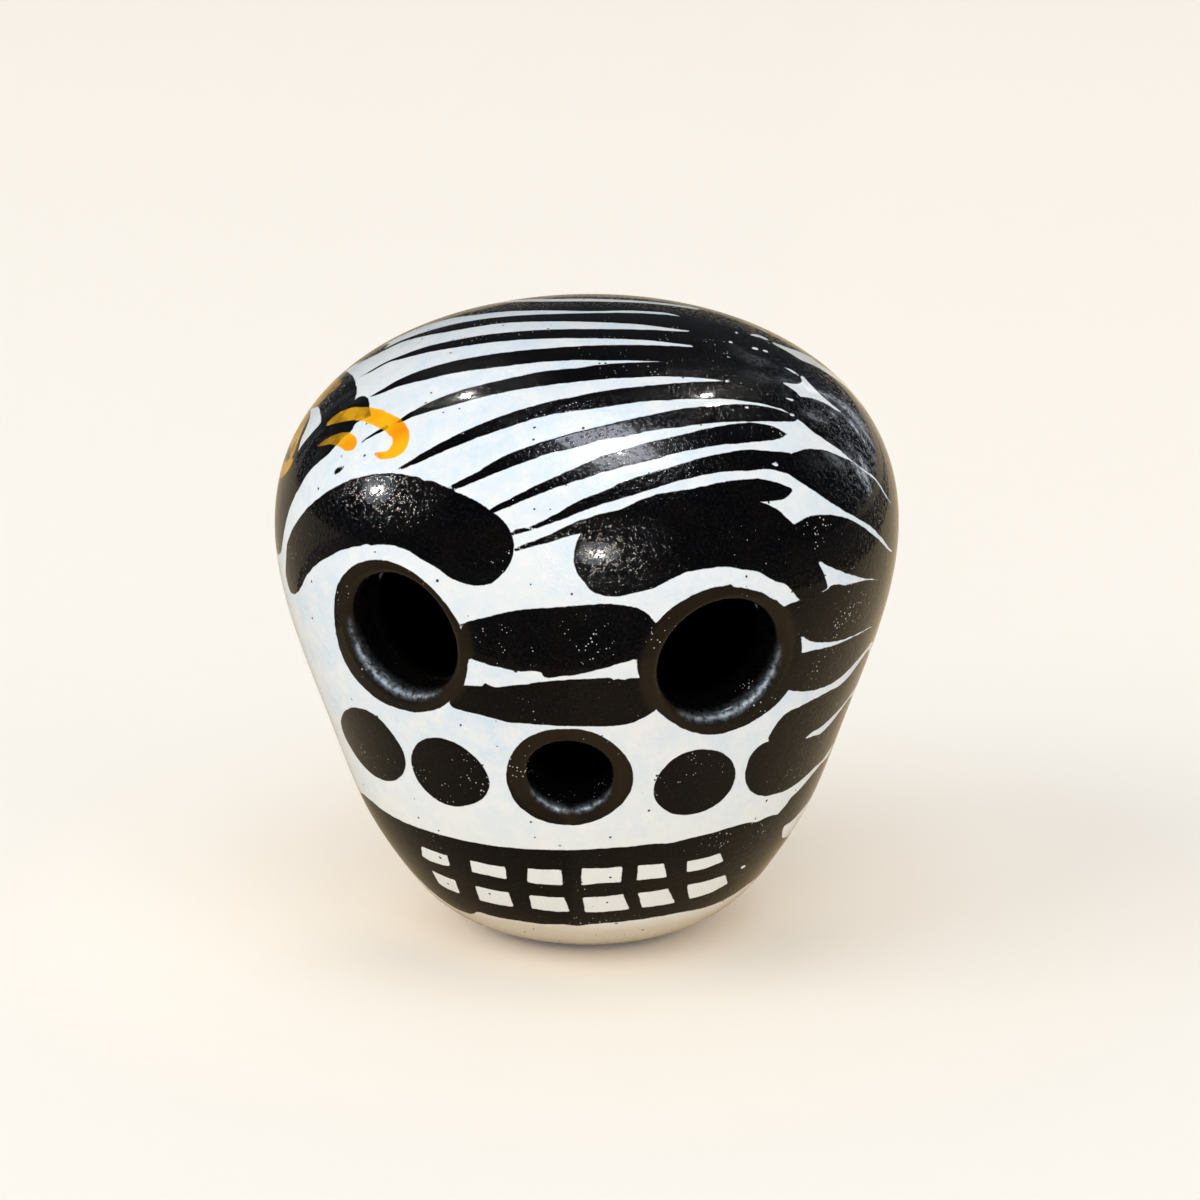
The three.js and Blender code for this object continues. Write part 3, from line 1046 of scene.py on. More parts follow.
# %% Paint the mouth band and the teeth
mouth_band = np.vstack([
    seen([(372, 801), (380, 808), (400, 820), (419, 828), (440, 834.5), (477, 843), (505, 847),
        (536, 849.5), (560, 850), (580, 849.8), (600, 848.5), (630, 846.5), (653, 843.8),
        (670, 843), (690, 838), (712, 833), (735, 826), (750, 822.5), (756, 822), (770, 815.8),
        (778, 814.5), (790, 815), (784, 826), (782, 835)]),
    by_side((76, 11.2), (84, 10.9), (90, 9.8), (88, 8.0), (78, 6.8), (66, 6.6)),
    seen([(724, 900), (703, 908), (680.5, 912.5), (650, 918), (624, 921.5), (600, 923.5),
        (584, 925), (578, 926), (570, 925), (536, 923.5), (520, 921), (507, 919), (490, 915.5),
        (478, 912), (473, 914)]),
    by_side((-45, 4.6), (-52, 5.4), (-63, 8), (-72, 12), (-70, 15)),
])
teeth = [
    [(421, 846), (447, 855.5), (450, 866.5), (430, 861), (422.5, 856)],
    [(470, 860.5), (505, 867), (507, 879.5), (490, 875.5), (472, 872)],
    [(528, 868.5), (561.5, 869.5), (562.5, 885), (527, 882.5)],
    [(582, 868.5), (622.5, 866.5), (621, 882), (600, 883), (581, 885.5)],
    [(638, 865.5), (664, 863.5), (666.5, 877), (637, 880)],
    [(687, 861.5), (700, 859), (720, 853.5), (723.5, 861), (705, 868.5), (687, 872)],
    [(432, 870.5), (455, 880.5), (460, 893.5), (448, 889), (439, 883.5)],
    [(475, 885.5), (508.5, 892.5), (513.5, 907), (480, 900)],
    [(529, 895), (564, 897.5), (570, 912), (532, 908.5)],
    [(582, 897.5), (623, 894), (629, 909), (585.5, 912)],
    [(638, 893), (668, 888.5), (675, 902.5), (642, 907.5)],
    [(687, 885), (705, 881.5), (725, 875), (727.5, 883.5), (710, 893), (689, 899)],
]
paint("black_one", mouth_band)
for tooth in teeth:
    paint("white_over", seen(tooth), 1)
paint("white_over", brush([(742, 867.5, 1.1), (744.5, 866, 0.8)], 3), 3)
print("teeth:", len(teeth))

# %% [markdown]
# ## The flower at the left temple
# A dark flower sits on the left temple, with an ochre curl and an ochre drop painted over it and
# a few ochre strokes on its petals. The curl is a single turn of a round brush, so it is given as
# a brush line with its half width at each place.

# %% Paint the flower and its ochre
flower_body = np.vstack([
    seen([(335, 377), (340, 373), (345, 371.5), (350, 373.5), (354, 378.5), (356, 384), (357, 390),
        (356, 396), (354.5, 400), (358, 397.5), (362, 396), (366, 397), (369, 401), (370, 405),
        (369.5, 408), (372, 416), (362, 420), (355, 424), (352, 430), (344, 437), (337.5, 444),
        (333, 449), (328, 454.5), (320, 461), (310, 471), (305, 478), (300, 487), (296, 494),
        (292, 503), (289, 511), (287, 518), (285, 527), (283, 540), (281, 552)]),
    by_side((-87, 42.2), (-93, 42.6), (-97, 45), (-101, 42.4), (-108, 41.4), (-114, 43.4),
        (-114, 47), (-119, 47.4), (-123, 50), (-121, 53.8), (-114, 54.4), (-116, 57.4), (-112, 60),
        (-103, 60.4), (-97, 58), (-92, 60), (-84, 59.6)),
])
teardrop = seen([
    (309, 410), (313, 408), (317.5, 407), (320, 412), (321, 418), (320, 424), (316, 428.5),
    (311, 434), (306, 440), (301, 446.5), (297.5, 452.5), (299, 447), (301, 440), (305, 431),
    (308, 423), (310, 417)])
curl_line = [
    (328, 424, 1.5), (338, 418.5, 4.5), (350, 414.5, 6), (362, 414, 7), (372, 416, 8.5),
    (385, 421, 9), (396, 428, 9.5), (401, 438, 8.5), (398, 448, 7), (390, 454, 4.5),
    (380, 455.5, 3.5), (375.5, 454, 1.5)]
drop_line = [(347.5, 442, 9.3), (340, 440, 7), (330, 441, 3.4), (318, 446, 0.8)]
ochre_lines = [
    curl_line,
    drop_line,
    [(338, 382, 3.0), (326, 391, 4.5), (313, 405, 3.4)],
    [(307.5, 414, 2.5), (300, 429, 2.6), (291, 455, 1.6)],
    [(291, 460, 2.2), (281, 476, 2.0)],
]
paint("black_one", flower_body)
paint("white_over", teardrop)
for line in ochre_lines:
    paint("ochre", brush(line))
paint("black_two", brush([(361, 442.5, 0.5), (368, 437.8, 1.0), (378, 432, 1.4), (387, 427, 1.8)]))
paint("black_two", brush([(335, 473, 1.6), (338, 470.5, 2.2), (343, 467, 1.5)]))
print("ochre strokes:", len(ochre_lines))

# %% [markdown]
# ## The sides and the back
# The photograph shows only the front. The strokes that run out of sight there are carried on in
# the same hand: the petals at the right meet in a flower behind the temple, the dark flower at the
# left is closed, and more stripes join the two flowers over the back of the head. Below them the
# dots of the cheeks go on in a row, over two long leaves. This is a guess in the style of the
# front. Here a stroke is a brush line on the skin, so it's given by its middle and half widths.

# %% Brush lines on the skin
left_flower = (-103.0, 50.5)
right_flower = (124.0, 37.8)
flower_reach = 31.0


def brush_on_skin(line, half_widths):
    """Outline of a brush line on the skin, with round ends."""
    line = onto(np.asarray(line, float))
    tangent = unit(np.gradient(line, axis=0))
    across = np.cross(skin_normals(line), tangent)
    return round_brush(line, across, tangent, np.asarray(half_widths, float)[:, None], 5)


def swelling(count, start, most, end, peak):
    """Half widths of a stroke that swells from its start to a peak and thins to its end."""
    share = np.linspace(0, 1, count)
    rising = start + (most - start) * np.sin(np.clip(share / peak, 0, 1) * math.pi / 2)
    falling = end + (most - end) * np.cos(np.clip((share - peak) / (1 - peak), 0, 1) * math.pi / 2)
    return np.where(share < peak, rising, falling)


def petal(flower, angle, start, end, widths):
    """A stroke that runs out from the middle of a flower, 0 degrees towards larger longitude."""
    turn = math.radians(angle)
    line = [
        on_side(flower[0] + math.degrees(away * math.cos(turn) / flower_reach),
                flower[1] + away * math.sin(turn))
        for away in np.linspace(start, end, len(widths))]
    return brush_on_skin(line, widths)


print("half widths of a petal:", np.round(swelling(5, 0.35, 2.1, 1.5, 0.75), 2))

# %% Paint the two flowers
petal_widths = swelling(9, 0.35, 2.1, 1.5, 0.75)
petal_start = 3.9
back_petals = [(78, 13.5), (50, 14.5), (20, 15.0), (-9, 14.5), (-38, 14.5), (-68, 11.5)]
paint_in_turn(
    petal(right_flower, angle, petal_start, end, petal_widths) for angle, end in back_petals)
paint("ochre", petal(right_flower, 0.0, -0.3, 0.3, [2.2, 2.2, 2.2]))
for angle in (35, 5, -24, -53):
    paint("ochre", petal(right_flower, angle, 5.5, 11.0, swelling(5, 0.3, 0.75, 0.4, 0.6)))

for angle, start, end in ((155, 3.5, 9.5), (210, 3.5, 8.5), (265, 3.5, 8.0), (100, 3.0, 7.5)):
    paint("white_over", petal(left_flower, angle, start, end, swelling(6, 0.3, 0.9, 0.3, 0.5)))
for angle, start, end in ((128, 2.5, 8.5), (183, 2.5, 9.5), (238, 2.5, 8.5), (300, 2.5, 8.0)):
    paint("ochre", petal(left_flower, angle, start, end, swelling(6, 0.4, 1.2, 0.8, 0.6)))
back_curl = by_side(
    (-122, 47), (-127, 46), (-133, 44.5), (-137, 41.5), (-136, 38.5), (-132, 37.6), (-130, 39))
paint("ochre", brush_on_skin(back_curl, swelling(7, 0.4, 1.0, 0.3, 0.6)))
print("petals behind the right temple:", len(back_petals))

# %% Paint the stripes, dots and leaves of the back
first_lean = 31.0
lean_step = 6.2
back_stripes = 10
stripe_points = 17
stripe_reach = 30.0
dot_width = 15.2
dot_height = 7.0
span = unit(on_side(*right_flower) - on_side(*left_flower))


def back_stripe(number):
    """A stripe from flower to flower, leaning further back with each number."""
    lean = math.radians(first_lean + lean_step * number)
    over_top = np.array([0.0, math.sin(lean), math.cos(lean)])
    over_top = unit(over_top - span * (over_top @ span))
    start = 30.0 + 3.0 * math.sin(2.1 * number)
    end = 146.0 + 3.0 * math.sin(1.3 * number + 1.0)
    turns = np.radians(np.linspace(start, end, stripe_points))[:, None]
    wave = 0.012 * np.sin(3.0 * turns + 0.9 * number) * np.cross(span, over_top)
    line = head_centre + stripe_reach * (np.sin(turns) * over_top - np.cos(turns) * span + wave)
    most = 1.05 + 0.12 * math.sin(1.7 * number)
    return brush_on_skin(line, swelling(stripe_points, 0.15, most, 0.7, 0.7))


def cheek_dot(longitude, height):
    turns = np.radians(np.arange(0, 360, 30))
    across = longitude + dot_width / 2 * np.cos(turns)
    upright = height + dot_height / 2 * np.sin(turns)
    return by_side(*zip(across, upright))


paint_in_turn(back_stripe(number) for number in range(back_stripes))
dot_middles = [(138, 21.6), (158, 22.3), (179, 21.8), (200, 22.4), (221, 21.7), (242, 22.6)]
paint_in_turn(cheek_dot(*middle) for middle in dot_middles)
for longitudes in (np.linspace(106, 172, 9), np.linspace(188, 256, 9)):
    leaf = [on_side(longitude, 12.0 + 0.8 * math.sin(longitude / 9.0)) for longitude in longitudes]
    paint("black_one", brush_on_skin(leaf, swelling(9, 0.2, 1.7, 0.3, 0.5)))
print("back stripes:", back_stripes, "dots:", len(dot_middles))

# %% [markdown]
# ## Painted highlight and reflection on the lips
# On the sharp lower lips of the holes a cool pale line is a painted highlight, and round the rest
# of the rims a browner black is a painted reflection of the table. Both follow the lip, so they're
# worked out from each hole's own axis and kept on the mesh, like the strokes, together with the
# depth under the skin.

# %% Keep the layers on the meshes
# painted highlight on the lower lips: its spread round the lip, its line and its haze
highlight_spread = 66.0
highlight_line = 0.70
line_width = 0.08
haze_width = 0.18
# reach of the painted table reflection round the rims
rim_reflection_reach = 2.3
lip_depth = 8.0


def bell(value, middle, width):
    return np.exp(-((value - middle) / width) ** 2)


def glaze_on_lips(points):
    """Painted highlight on the lower lips, and painted table reflection on the rest of the rims.
    """
    lip_glint = np.zeros(len(points))
    brown = np.zeros(len(points))
    for hole in holes.values():
        axes = hole_axes(hole)
        off, out = off_axis(points, axes)
        angles = angles_round(points, axes)
        lip = lip_at(angles, hole)
        round_share = (hole["radius"] + lip - off) / lip
        from_low = np.degrees(angles) - hole["sharpest"] + 180.0
        from_low = (from_low + 180.0) % 360.0 - 180.0
        low = np.cos(np.radians(np.clip(from_low / highlight_spread, -1.0, 1.0) * 90.0))
        low = np.clip(low - hole["gap"] * bell(from_low, 0.0, 9.0), 0.0, 1.0)
        # painted highlight: a bright line with a haze round it, on the lower lips
        haze = bell(round_share, highlight_line, haze_width)
        rounded = 0.72 * bell(round_share, highlight_line, line_width) + 0.28 * haze
        near = np.abs(out) < lip_depth
        at_lip = near & (round_share > -0.1) & (-over_skin(points) < lip)
        lip_glint = np.maximum(lip_glint, np.where(at_lip, low * rounded, 0.0))
        # painted reflection of the table round the rest of the rim
        across = np.clip((hole["radius"] + rim_reflection_reach - off) / 0.6, 0.0, 1.0)
        on_rim = near & (off > hole["radius"] + 0.1 * lip)
        brown = np.maximum(brown, np.where(on_rim, across * (1.0 - 0.7 * low), 0.0))
    return {"painted_lip_highlight": lip_glint, "rim_table_reflection": brown}


for name, shell in shells.items():
    points = shell_points[name]
    kept = {**layers[name], **glaze_on_lips(points), "under_skin": -over_skin(points)}
    for attribute_name, values in kept.items():
        attribute = shell.data.attributes.new(attribute_name, "FLOAT", "POINT")
        attribute.data.foreach_set("value", values.astype(np.float32))
    print(name, "vertices in black:", int((kept["black_one"] > 0).sum()))

# %% [markdown]
# ## Short ways to write a finish
# A finish is a small machine of nodes. Written out one by one, the nodes would hide the recipe. So
# a few short ways to add them come first, and after that every line of a recipe says one thing
# about the glaze. A number that is the same all over is set on the shader's own socket.

# %% Nodes in short
class Look:
    """The nodes of one finish. Its patterns lie in the piece's own coordinates."""

    def __init__(self, tree, coordinates_from="Object"):
        self.nodes = tree.nodes
        self.links = tree.links
        self.place = self.add("TexCoord", {}).outputs[coordinates_from]

    def feed(self, socket, value):
        """Links what comes out of another node, or sets a plain value on the socket itself."""
        if isinstance(value, bpy.types.NodeSocket):
            self.links.new(value, socket)
        else:
            socket.default_value = value

    def add(self, kind, sockets, **settings):
        """Adds a node with its settings, and feeds the sockets that are named or numbered."""
        node = self.nodes.new("ShaderNode" + kind)
        for setting, value in settings.items():
            setattr(node, setting, value)
        for name, value in sockets.items():
            self.feed(node.inputs[name], value)
        return node

    def layer(self, name):
        """A number that is kept at every vertex."""
        return self.add("Attribute", {}, attribute_name=name).outputs["Fac"]

    def reckon(self, operation, first, second):
        return self.add("Math", {0: first, 1: second}, operation=operation).outputs[0]

    def spread(self, value, low, high, to_low=0.0, to_high=1.0):
        """Spreads low to high over to_low to to_high, and stops at both ends."""
        ends = {"From Min": low, "From Max": high, "To Min": to_low, "To Max": to_high}
        return self.add("MapRange", {"Value": value, **ends}).outputs["Result"]

    def cloud(self, scale, detail, roughness, place=None):
        grain = {"Scale": scale, "Detail": detail, "Roughness": roughness}
        return self.add("TexNoise", {"Vector": place or self.place, **grain}).outputs["Fac"]

    def blend(self, share, first, second):
        """Mixes two colours, each a plain one or one from another node."""
        node = self.add("Mix", {"Factor": share}, data_type="RGBA")
        coloured = [socket for socket in node.inputs if socket.type == "RGBA"]
        self.feed(coloured[0], first)
        self.feed(coloured[1], second)
        return [socket for socket in node.outputs if socket.type == "RGBA"][0]

    def marks(self, scale, left_out, size):
        """1 in small round marks and 0 elsewhere. Of all cells the share left_out has no mark."""
        cells = self.add("TexVoronoi", {"Scale": scale, "Vector": self.place})
        chance = self.spread(cells.outputs["Color"], left_out, left_out + 0.01)
        near = self.reckon("LESS_THAN", cells.outputs["Distance"], size)
        return self.reckon("MULTIPLY", near, chance)

    def finish(self, sockets):
        """Ends a material in one surface."""
        surface = self.add("BsdfPrincipled", sockets)
        self.add("OutputMaterial", {"Surface": surface.outputs["BSDF"]})


def new_look(name):
    material = bpy.data.materials.new(name)
    material.use_nodes = True
    material.node_tree.nodes.clear()
    return material, Look(material.node_tree)


def give(piece, material):
    piece.data.materials.clear()
    piece.data.materials.append(material)
    print(piece.name, "wears", material.name, "of", len(material.node_tree.nodes), "nodes")


print("short ways:", [name for name in vars(Look) if not name.startswith("_")])

# %% [markdown]
# ## Where each glaze lies
# The edge of each stroke wanders a little, as the glaze crept in the fire. White that was laid
# over black takes it away again, which is the smaller of two depths. Deep under the skin, in the
# holes, the glaze is dull and its colour is painted near black as shade.

# %% Depths inside the black and the ochre
tremble_reach = 0.055


def strokes(look):
    """Depths inside the black and the ochre, in millimetres, with a trembling edge."""
    cloud = look.cloud(900.0, 4.0, 0.6)
    tremble = look.spread(cloud, 0.3, 0.7, -tremble_reach, tremble_reach)
    either = look.reckon("MAXIMUM", look.layer("black_one"), look.layer("black_two"))
    uncovered = look.reckon("MULTIPLY", look.layer("white_over"), -1.0)
    black_depth = look.reckon("MINIMUM", either, uncovered)
    black_edge = look.reckon("ADD", black_depth, tremble)
    ochre_edge = look.reckon("ADD", look.layer("ochre"), tremble)
    return black_edge, ochre_edge


print("edges tremble by up to", tremble_reach, "mm")

# %% [markdown]
# ## The white glaze
# The white is milky and mottled with a cool blue where it lies thick, and warmer in broad patches.
# Towards the jaw it is painted warmer, as warm light bounced up from the table. Round the foot it
# is painted darker and warmer as shade, and a painted dark line of contact shadow runs where the
# foot stands. It is sown with pinholes, where bubbles broke in the kiln.

# %% White with its pinholes
white_glaze = (0.78, 0.795, 0.805, 1.0)
blue_white_glaze = (0.62, 0.72, 0.82, 1.0)
# cream of the random warm patches, also used for the painted warm bounce towards the jaw
cream_and_bounce_glaze = (0.79, 0.78, 0.735, 1.0)
# painted shade round the foot, darker and warmer near the table
foot_shade_colour = (0.66, 0.59, 0.48, 1.0)
# painted contact shadow where the foot meets the table
contact_shadow_colour = (0.14, 0.09, 0.055, 1.0)
pit_colour = (0.05, 0.055, 0.06, 1.0)
bounce_from, bounce_to = 0.026, 0.012
foot_shade_from, foot_shade_to = 0.0064, 0.0044
contact_from, contact_to = 0.0008, 0.0003
foot_shade_tremble = 0.0007
pit_cells = 900.0
without_pit = 0.66


def milk_and_pits(look):
    """Colour of the white glaze, and where its pinholes are."""
    mottle = look.spread(look.cloud(420.0, 6.0, 0.75), 0.38, 0.66)
    milk = look.blend(mottle, white_glaze, blue_white_glaze)
    height = look.add("SeparateXYZ", {"Vector": look.place}).outputs["Z"]
    warm_patch = look.spread(look.cloud(45.0, 2.0, 0.5), 0.45, 0.75, 0.0, 0.6)
    # painted warm bounce: the white turns cream towards the jaw, by height
    jaw_bounce = look.spread(height, bounce_from, bounce_to, 0.0, 0.85)
    milk = look.blend(look.reckon("MAXIMUM", warm_patch, jaw_bounce), milk, cream_and_bounce_glaze)
    # painted shade round the foot, up to a wavering height
    uneven = look.spread(look.cloud(130.0, 3.0, 0.5), 0.3, 0.7, -foot_shade_tremble, foot_shade_tremble)
    foot_shade = look.spread(look.reckon("ADD", height, uneven), foot_shade_from, foot_shade_to)
    milk = look.blend(foot_shade, milk, foot_shade_colour)
    # painted contact shadow: a dark line at the very bottom
    contact_shadow = look.spread(height, contact_from, contact_to)
    milk = look.blend(contact_shadow, milk, contact_shadow_colour)
    pit_size = look.spread(look.cloud(1500.0, 2.0, 0.5), 0.3, 0.7, 0.05, 0.19)
    pits = look.marks(pit_cells, without_pit, pit_size)
    return look.blend(pits, milk, pit_colour), pits


print("whites:", white_glaze[:3], blue_white_glaze[:3], cream_and_bounce_glaze[:3])

# %% [markdown]
# ## The black and the ochre glaze
# The black is dense, a touch browner where the brush ran dry, with a fine grey grain and pale
# specks in a few patches. Round the rims a browner tone is a painted reflection of the table, and
# on the lower lips a cool pale line is a painted highlight. The ochre goes from orange to yellow
# with its thickness, and where it lies over black it is thinner and streaky.

# %% Black and ochre
black_glaze = (0.0015, 0.0015, 0.002, 1.0)
brown_black_glaze = (0.0045, 0.003, 0.002, 1.0)
grain_grey = (0.006, 0.007, 0.009, 1.0)
# painted reflection of the table on the rims
rim_reflection_colour = (0.015, 0.0105, 0.006, 1.0)
speck_colour = (0.50, 0.49, 0.46, 1.0)
# painted highlight on the lower lips
lip_highlight_colour = (0.46, 0.54, 0.63, 1.0)
ochre_glaze = (0.85, 0.235, 0.004, 1.0)
yellow_glaze = (0.87, 0.43, 0.008, 1.0)
thin_ochre = (0.28, 0.14, 0.005, 1.0)
ochre_on_black = (0.62, 0.31, 0.008, 1.0)
speck_cells = 2800.0
without_speck = 0.50


def ink_colour(look):
    dry = look.spread(look.cloud(260.0, 5.0, 0.65), 0.45, 0.8)
    ink = look.blend(dry, black_glaze, brown_black_glaze)
    grainy = look.spread(look.cloud(3600.0, 4.0, 0.7), 0.50, 0.72)
    ink = look.blend(grainy, ink, grain_grey)
    # painted reflection of the table round the rims
    ink = look.blend(look.layer("rim_table_reflection"), ink, rim_reflection_colour)
    speck_size = look.spread(look.cloud(150.0, 4.0, 0.7), 0.48, 0.66, 0.0, 0.24)
    ink = look.blend(look.marks(speck_cells, without_speck, speck_size), ink, speck_colour)
    # painted highlight on the lower lips, broken into patches
    patchy = look.spread(look.cloud(1900.0, 4.0, 0.6), 0.38, 0.62, 0.15, 1.1)
    lip_glint = look.reckon("MULTIPLY", look.layer("painted_lip_highlight"), patchy)
    return look.blend(lip_glint, ink, lip_highlight_colour)


def sun_colour(look, black_share):
    thick = look.spread(look.cloud(190.0, 3.0, 0.5), 0.4, 0.6)
    sun = look.blend(thick, ochre_glaze, yellow_glaze)
    streak = look.spread(look.cloud(420.0, 3.0, 0.6), 0.42, 0.60)
    sun_on_black = look.blend(streak, thin_ochre, ochre_on_black)
    return look.blend(black_share, sun, sun_on_black)


print("black:", black_glaze[:3], "ochre:", ochre_glaze[:3])

# %% [markdown]
# ## One glassy coat
# All of it is one glassy coat, so one material with one gloss serves, and only its colour changes
# with the layers stored on the mesh. The coat isn't flat: it waves slowly, has a fine grain,
# stands a little higher on the black and sinks at the pinholes. A bump node gives that relief,
# which is far too low to model. Inside the holes the gloss fades out and the colour is painted
# near black as shade.

# %% The painted glaze
# painted shade deep in the holes and in the hollow
hollow_painted_shade = (0.002, 0.0015, 0.001, 1.0)
warm_gloss = (1.0, 0.90, 0.79, 1.0)
glaze_ior = 1.23
black_softness = 0.035
ochre_softness = 0.05
inside_from, inside_to = 3.0, 4.6
relief_strength = 0.5
relief_height = 0.00035


def relief(look, black_edge, pits):
    """The surface's direction with its waves, grain, raised strokes and pinholes."""
    wave = look.reckon("MULTIPLY", look.cloud(150.0, 2.0, 0.5), 0.35)
    grain = look.spread(look.cloud(2600.0, 3.0, 0.6), 0.52, 0.92)
    raised = look.spread(black_edge, -0.12, 0.12)
    height = look.reckon("ADD", wave, look.reckon("MULTIPLY", grain, 0.20))
    height = look.reckon("ADD", height, look.reckon("MULTIPLY", raised, 0.06))
    height = look.reckon("ADD", height, look.reckon("MULTIPLY", pits, -0.2))
    coat = {"Strength": relief_strength, "Distance": relief_height, "Height": height}
    return look.add("Bump", coat).outputs["Normal"]


def make_glaze(name):
    material, look = new_look(name)
    black_edge, ochre_edge = strokes(look)
    black_share = look.spread(black_edge, -black_softness, black_softness)
    ochre_share = look.spread(ochre_edge, -ochre_softness, ochre_softness)
    inside_share = look.spread(look.layer("under_skin"), inside_from, inside_to)
    milk, pits = milk_and_pits(look)
    painted = look.blend(black_share, milk, ink_colour(look))
    painted = look.blend(ochre_share, painted, sun_colour(look, black_share))
    shine = look.spread(look.cloud(300.0, 4.0, 0.6), 0.3, 0.7, 0.03, 0.11)
    dull_inside = look.reckon("MULTIPLY", inside_share, 0.8)
    look.finish({
        # near black deep inside is painted shade
        "Base Color": look.blend(inside_share, painted, hollow_painted_shade),
        "Roughness": look.reckon("ADD", shine, dull_inside),
        "IOR": glaze_ior,
        "Specular IOR Level": look.spread(inside_share, 0.0, 1.0, 0.5, 0.0),
        "Specular Tint": warm_gloss,
        "Normal": relief(look, black_edge, pits),
    })
    return material


give(painted_face, make_glaze("face_glaze"))
give(painted_back, make_glaze("back_glaze"))

# %% [markdown]
# ## Bare clay inside
# The strip that closes the join from inside never saw a brush. It is plain fired clay, matt and a
# little spotted.

# %% Bare clay for the strip inside the join
clay_colour = (0.40, 0.16, 0.08, 1.0)
dark_clay_colour = (0.26, 0.10, 0.05, 1.0)
bare_clay, clay_look = new_look("bare_clay")
spotted = clay_look.blend(clay_look.cloud(900.0, 5.0, 0.6), clay_colour, dark_clay_colour)
clay_look.finish({"Base Color": spotted, "Roughness": 0.85})
give(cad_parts["join_strip"], bare_clay)

# %% [markdown]
# ## The table
# The skull stood on a warm, pale table that runs back out of sight. Right round the skull its
# colour is a little stronger and warmer, which is painted warm shade, and a slight lift that only
# the camera sees brings it up to the paleness of the photograph without any more light on the
# skull.

# %% Floor
# painted warm shade right round the skull
warm_shade_table = (0.98, 0.89, 0.78, 1.0)
far_table = (0.915, 0.862, 0.80, 1.0)
table_lift = (1.0, 0.93, 0.85, 1.0)


def lay_sheet(name, left, right, near, far, height):
    """A level sheet whose place is kept in its mesh, so its own coordinates are the room's."""
    bpy.ops.object.select_all(action="DESELECT")
    middle = ((left + right) / 2.0, (near + far) / 2.0, height)
    bpy.ops.mesh.primitive_plane_add(size=1.0, location=middle)
    sheet = bpy.context.object
    sheet.name = name
    sheet.scale = (right - left, far - near, 1.0)
    bpy.ops.object.transform_apply(location=True, rotation=True, scale=True)
    return sheet


floor = lay_sheet("floor", -4.0, 4.0, -2.0, 6.0, 0.0)
warm_table, table_look = new_look("warm_table")
from_skull = table_look.add("VectorMath", {0: table_look.place}, operation="LENGTH")
# painted warm shade, fading out away from the skull
warm_shade_share = table_look.spread(from_skull.outputs["Value"], 0.030, 0.068, 1.0, 0.0)
to_the_camera = table_look.add("LightPath", {}).outputs["Is Camera Ray"]
table_look.finish({
    "Base Color": table_look.blend(warm_shade_share, far_table, warm_shade_table),
    "Emission Color": table_lift,
    "Emission Strength": table_look.spread(to_the_camera, 0.0, 1.0, 0.0, 0.06),
    "Roughness": 0.8,
    "Specular IOR Level": 0.1,
})
give(floor, warm_table)

# %% [markdown]
# ## Cards for the gloss
# In the low curves of the black glaze the real table shows as a warm brown, with the dark room
# around it. The pale floor alone would show there as grey. So cards lie on the table that only
# the gloss can see: a brown one at the left and a paler one at the right, and over them three
# dark ones, in front and at both sides, the outer ones spotted so that their edge is broken.

# %% Cards on the table
brown_card = (0.52, 0.40, 0.235, 1.0)
pale_brown_card = (0.78, 0.60, 0.36, 1.0)
dark_felt = (0.035, 0.030, 0.022, 1.0)
brown_spots = (0.24, 0.18, 0.10, 1.0)
low_card = 0.0004
high_card = 0.0008


def lay_card(name, left, right, near, far, height, colour, spots=None):
    """A card on the table that shows in the gloss alone."""
    card = lay_sheet(name, left, right, near, far, height)
    material, look = new_look(name)
    if spots:
        share = look.spread(look.cloud(22.0, 4.0, 0.65), 0.46, 0.62)
        colour = look.blend(share, colour, spots)
    look.finish({"Base Color": colour, "Roughness": 1.0})
    give(card, material)
    card.visible_camera = False
    card.visible_diffuse = False
    card.visible_shadow = False


lay_card("left_card", -4.0, 0.0, -1.9, 5.9, low_card, brown_card)
lay_card("right_card", 0.0, 4.0, -1.9, 5.9, low_card, pale_brown_card)
lay_card("dark_card", -3.0, 3.0, -3.08, -0.070, high_card, dark_felt)
lay_card("left_dark_card", -3.0, -0.085, -0.070, 0.055, high_card, dark_felt, brown_spots)
lay_card("right_dark_card", 0.16, 3.0, -0.070, 0.60, high_card, dark_felt, brown_spots)

# %% [markdown]
# ## The lamps
# On a glazed black stroke every lamp shows as its own small picture, so the lamps that the gloss
# shows stand where their pictures fall on the real piece: a soft box overhead, one lamp at the
# left and one beside the camera, each with a faint halo, and two small ones behind. The broad
# light that fills the whites comes from panels that the gloss doesn't show, as a photographer
# flags a lamp off.

# %% Lamps
lamp_distance = 4.0
skull_middle = Vector((0.0, 0.0, 0.032))
white = (1.0, 1.0, 1.0)
cool = (0.94, 0.98, 1.0)
cooler = (0.90, 0.97, 1.0)
halo_blue = (0.62, 0.79, 1.0)
box_blue = (0.67, 0.77, 1.0)
sky_blue = (0.82, 0.93, 1.0)


def way_to(azimuth, elevation):
    """Direction of a lamp. Azimuth 0 is the camera's side and 90 the side of +X."""
    turn = math.radians(azimuth)
    rise = math.radians(elevation)
    return Vector((
        math.sin(turn) * math.cos(rise), -math.cos(turn) * math.cos(rise), math.sin(rise)))


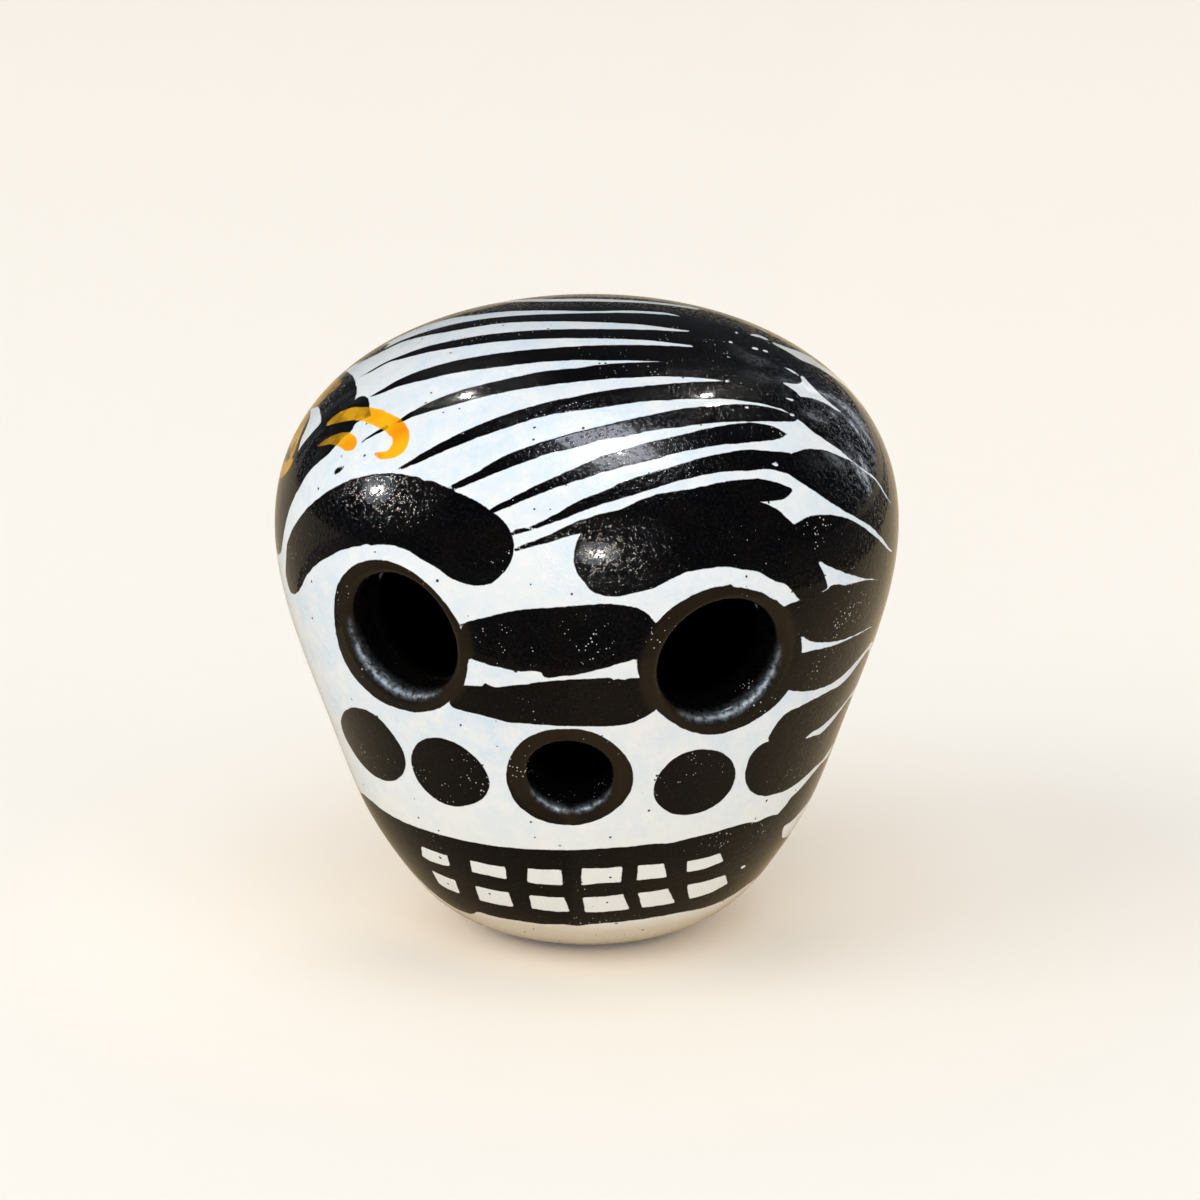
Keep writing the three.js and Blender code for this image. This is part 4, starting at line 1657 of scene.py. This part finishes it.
def lamp(name, azimuth, elevation, width, level, in_gloss, colour=white, length=None):
    """An area lamp aimed at the skull, for the gloss or for the whites. Level 1 would light a
    white card that faces the lamp up to white."""
    away = way_to(azimuth, elevation)
    bpy.ops.object.light_add(type="AREA", location=skull_middle + away * lamp_distance)
    made = bpy.context.object
    made.name = name
    made.rotation_mode = "QUATERNION"
    made.rotation_quaternion = (-away).to_track_quat("-Z", "Y")
    made.data.shape = "DISK"
    made.data.size = width
    if length:
        made.data.shape = "RECTANGLE"
        made.data.size_y = length
    made.data.energy = level * (math.pi * lamp_distance) ** 2
    made.data.color = colour
    made.visible_glossy = in_gloss
    made.visible_diffuse = not in_gloss


lamp("soft box", 36.0, 77.0, 1.3, 1.7, True, box_blue, 2.0)
lamp("soft box core", 36.0, 76.5, 0.22, 0.6, True)
lamp("left lamp", -84.6, 25.1, 0.28, 1.1, True)
lamp("left lamp halo", -84.6, 25.1, 1.0, 0.16, True, halo_blue)
lamp("camera lamp", 9.2, 12.4, 0.28, 1.2, True)
lamp("camera lamp halo", 9.2, 12.4, 1.0, 0.20, True, halo_blue)
lamp("rear left lamp", -137.7, 54.5, 0.18, 0.20, True)
lamp("rear right lamp", 149.8, 54.5, 0.16, 0.18, True)
lamp("sky panel", 20.0, 66.0, 3.6, 0.27, False, sky_blue)
lamp("left panel", -58.0, 36.0, 3.2, 0.31, False, cool)
lamp("right panel", 60.0, 20.0, 3.2, 0.11, False, cool)
lamp("front panel", 0.0, 10.0, 3.2, 0.16, False, cooler)

# %% [markdown]
# ## The room
# The room gives the whites an even light, a little stronger from low down. To the gloss it is a
# different room: nearly dark, with a broad glow round the soft box and the vague bright shapes of
# things to the right and the left. One switch, whether a ray left a glossy surface, tells the two
# rooms apart.

# %% Light of the room
open_room = (1.0, 0.97, 0.93, 1.0)
dark_room_blue = (0.80, 0.89, 1.0, 1.0)
world = bpy.data.worlds.new("room")
bpy.context.scene.world = world
world.use_nodes = True
room = Look(world.node_tree, "Generated")
in_the_gloss = room.add("LightPath", {}).outputs["Is Glossy Ray"]


def glow(azimuth, elevation, sharpness, strength):
    """A soft glow on the walls of the room round one direction."""
    towards = {0: room.place, 1: way_to(azimuth, elevation)}
    ahead = room.add("VectorMath", towards, operation="DOT_PRODUCT").outputs["Value"]
    tight = room.reckon("POWER", room.reckon("MAXIMUM", ahead, 0.0), sharpness)
    return room.reckon("MULTIPLY", tight, strength)


upright = room.add("VectorMath", {0: room.place, 1: (1.0, 1.0, 0.22)}, operation="MULTIPLY")
shapes = room.spread(room.cloud(8.0, 3.0, 0.6, upright.outputs["Vector"]), 0.54, 0.59)
right_things = room.reckon("MULTIPLY", glow(142.0, 14.0, 26.0, 9.0), shapes)
left_things = room.reckon("MULTIPLY", glow(-120.0, 5.0, 8.0, 0.5), shapes)
dark_room = room.reckon("ADD", glow(36.0, 77.0, 40.0, 7.0), 0.06)
for things in (right_things, left_things):
    dark_room = room.reckon("ADD", dark_room, things)
height = room.add("SeparateXYZ", {"Vector": room.place}).outputs["Z"]
even_light = room.spread(height, 0.2, 0.6, 0.86, 0.60)
strength = room.add("Mix", {"Factor": in_the_gloss, "A": even_light, "B": dark_room})
background = world.node_tree.nodes["Background"]
room.feed(background.inputs["Color"], room.blend(in_the_gloss, open_room, dark_room_blue))
room.feed(background.inputs["Strength"], strength.outputs["Result"])
bpy.context.scene.view_settings.view_transform = "Standard"
print("nodes in the room:", len(world.node_tree.nodes))

# %% [markdown]
# ## Hand over
# Both halves ride on the packed skull's one body and stand for its two shells. The strip inside
# the join stays as packed.

# %% Hand over
for piece, node, finish in (
        (painted_face, "face_shell", "face_glaze"), (painted_back, "back_shell", "back_glaze")):
    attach(piece, "root")
    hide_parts(node)
